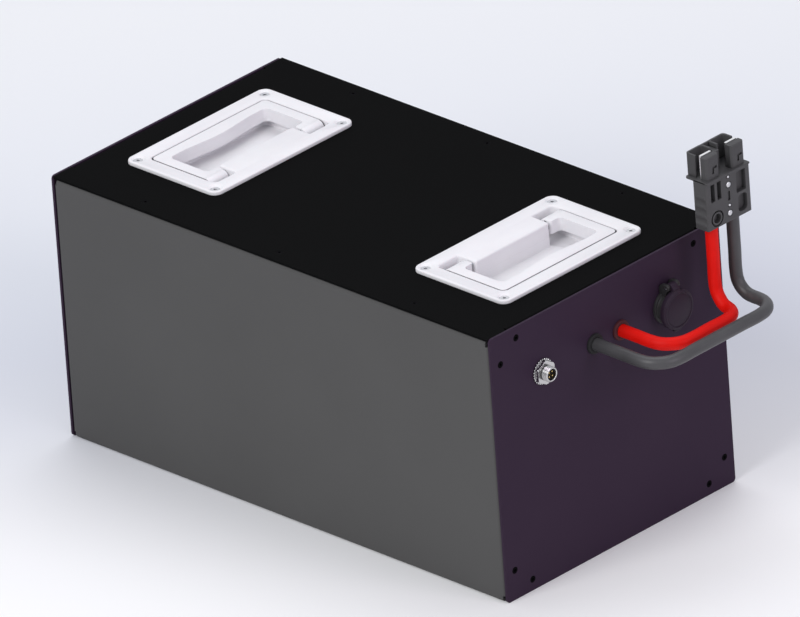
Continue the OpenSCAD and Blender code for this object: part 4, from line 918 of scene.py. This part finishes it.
# Pale floor, tinted from back to front by (share of the span, colour), and soft studio light
floorTint = {"direction": (0.716, -0.698, 0.0), "span": (-0.8, 0.3),
             "stops": ((0.0, (0.93, 0.935, 0.95)), (0.3, (0.8, 0.82, 0.87)), (0.48, (0.735, 0.755, 0.83)),
                       (0.58, (0.735, 0.755, 0.83)), (0.73, (0.88, 0.88, 0.91)),
                       (0.88, (0.955, 0.955, 0.96))),
             "size": 60.0, "below": 0.0002, "rough": 0.7, "specular": 0.1}
studio = {"colour": (0.86, 0.88, 0.93), "onObject": 0.55, "seenExtra": 0.4}
lamps = {
    "key": {"location": (0.2, -2.6, 2.3), "target": (0, 0, 0.1), "size": 1.8, "power": 54.0},
    "fill": {"location": (2.9, 0.4, 1.5), "target": (0.1, 0, 0.12), "size": 1.6, "power": 22.0,
             "colour": (1.0, 0.88, 1.0)},
    "top": {"location": (-0.8, 0.9, 3.0), "target": (0, 0, 0.2), "size": 2.0, "power": 24.0,
            "colour": (0.97, 0.98, 1.0)},
}


def makeStage():
    floorMesh = bpy.data.meshes.new("floor")
    shape = bmesh.new()
    bmesh.ops.create_grid(shape, x_segments=1, y_segments=1, size=floorTint["size"])
    shape.to_mesh(floorMesh)
    shape.free()
    floor = bpy.data.objects.new("floor", floorMesh)
    floor.location = (0, 0, -floorTint["below"])
    bpy.context.scene.collection.objects.link(floor)
    material = bpy.data.materials.new("floorPaint")
    material.use_nodes = True
    tree = material.node_tree
    shader = tree.nodes["Principled BSDF"]
    shader.inputs["Roughness"].default_value = floorTint["rough"]
    shader.inputs["Specular IOR Level"].default_value = floorTint["specular"]
    place = newNode(tree, "ShaderNodeTexCoord")
    along = newNode(tree, "ShaderNodeVectorMath", operation="DOT_PRODUCT")
    along.inputs[1].default_value = floorTint["direction"]
    link(tree, place, "Object", along, 0)
    spread = newNode(tree, "ShaderNodeMapRange")
    spread.inputs["From Min"].default_value, spread.inputs["From Max"].default_value = floorTint["span"]
    ramp = newNode(tree, "ShaderNodeValToRGB")
    ramp.color_ramp.interpolation = "B_SPLINE"
    stops = ramp.color_ramp.elements
    while len(stops) < len(floorTint["stops"]):
        stops.new(0.5)
    for stop, (at, colour) in zip(stops, floorTint["stops"]):
        stop.position = at
        stop.color = (*colour, 1.0)
    link(tree, along, "Value", spread, "Value")
    link(tree, spread, "Result", ramp, "Fac")
    link(tree, ramp, "Color", shader, "Base Color")
    floorMesh.materials.append(material)


def makeWorld():
    world = bpy.data.worlds.new("studio")
    world.use_nodes = True
    bpy.context.scene.world = world
    tree = world.node_tree
    back = tree.nodes["Background"]
    back.inputs["Color"].default_value = (*studio["colour"], 1.0)
    path = newNode(tree, "ShaderNodeLightPath")
    seen = mathNode(tree, "MAXIMUM", path.outputs["Is Camera Ray"], path.outputs["Is Glossy Ray"])
    seen = mathNode(tree, "MAXIMUM", seen, path.outputs["Is Transmission Ray"])
    strength = mathNode(tree, "MULTIPLY_ADD", seen, studio["seenExtra"], studio["onObject"])
    tree.links.new(strength, back.inputs["Strength"])


def addLamp(name, spec):
    lampData = bpy.data.lights.new(name, "AREA")
    lampData.shape = "DISK"
    lampData.size = spec["size"]
    lampData.energy = spec["power"]
    lampData.color = spec.get("colour", (1, 1, 1))
    lamp = bpy.data.objects.new(name, lampData)
    lamp.location = spec["location"]
    towards = Vector(spec["target"]) - Vector(spec["location"])
    lamp.rotation_euler = towards.to_track_quat("-Z", "Y").to_euler()
    bpy.context.scene.collection.objects.link(lamp)


makeStage()
makeWorld()
for name, spec in lamps.items():
    addLamp(name, spec)
bpy.context.scene.view_settings.view_transform = "Standard"
print("stage")
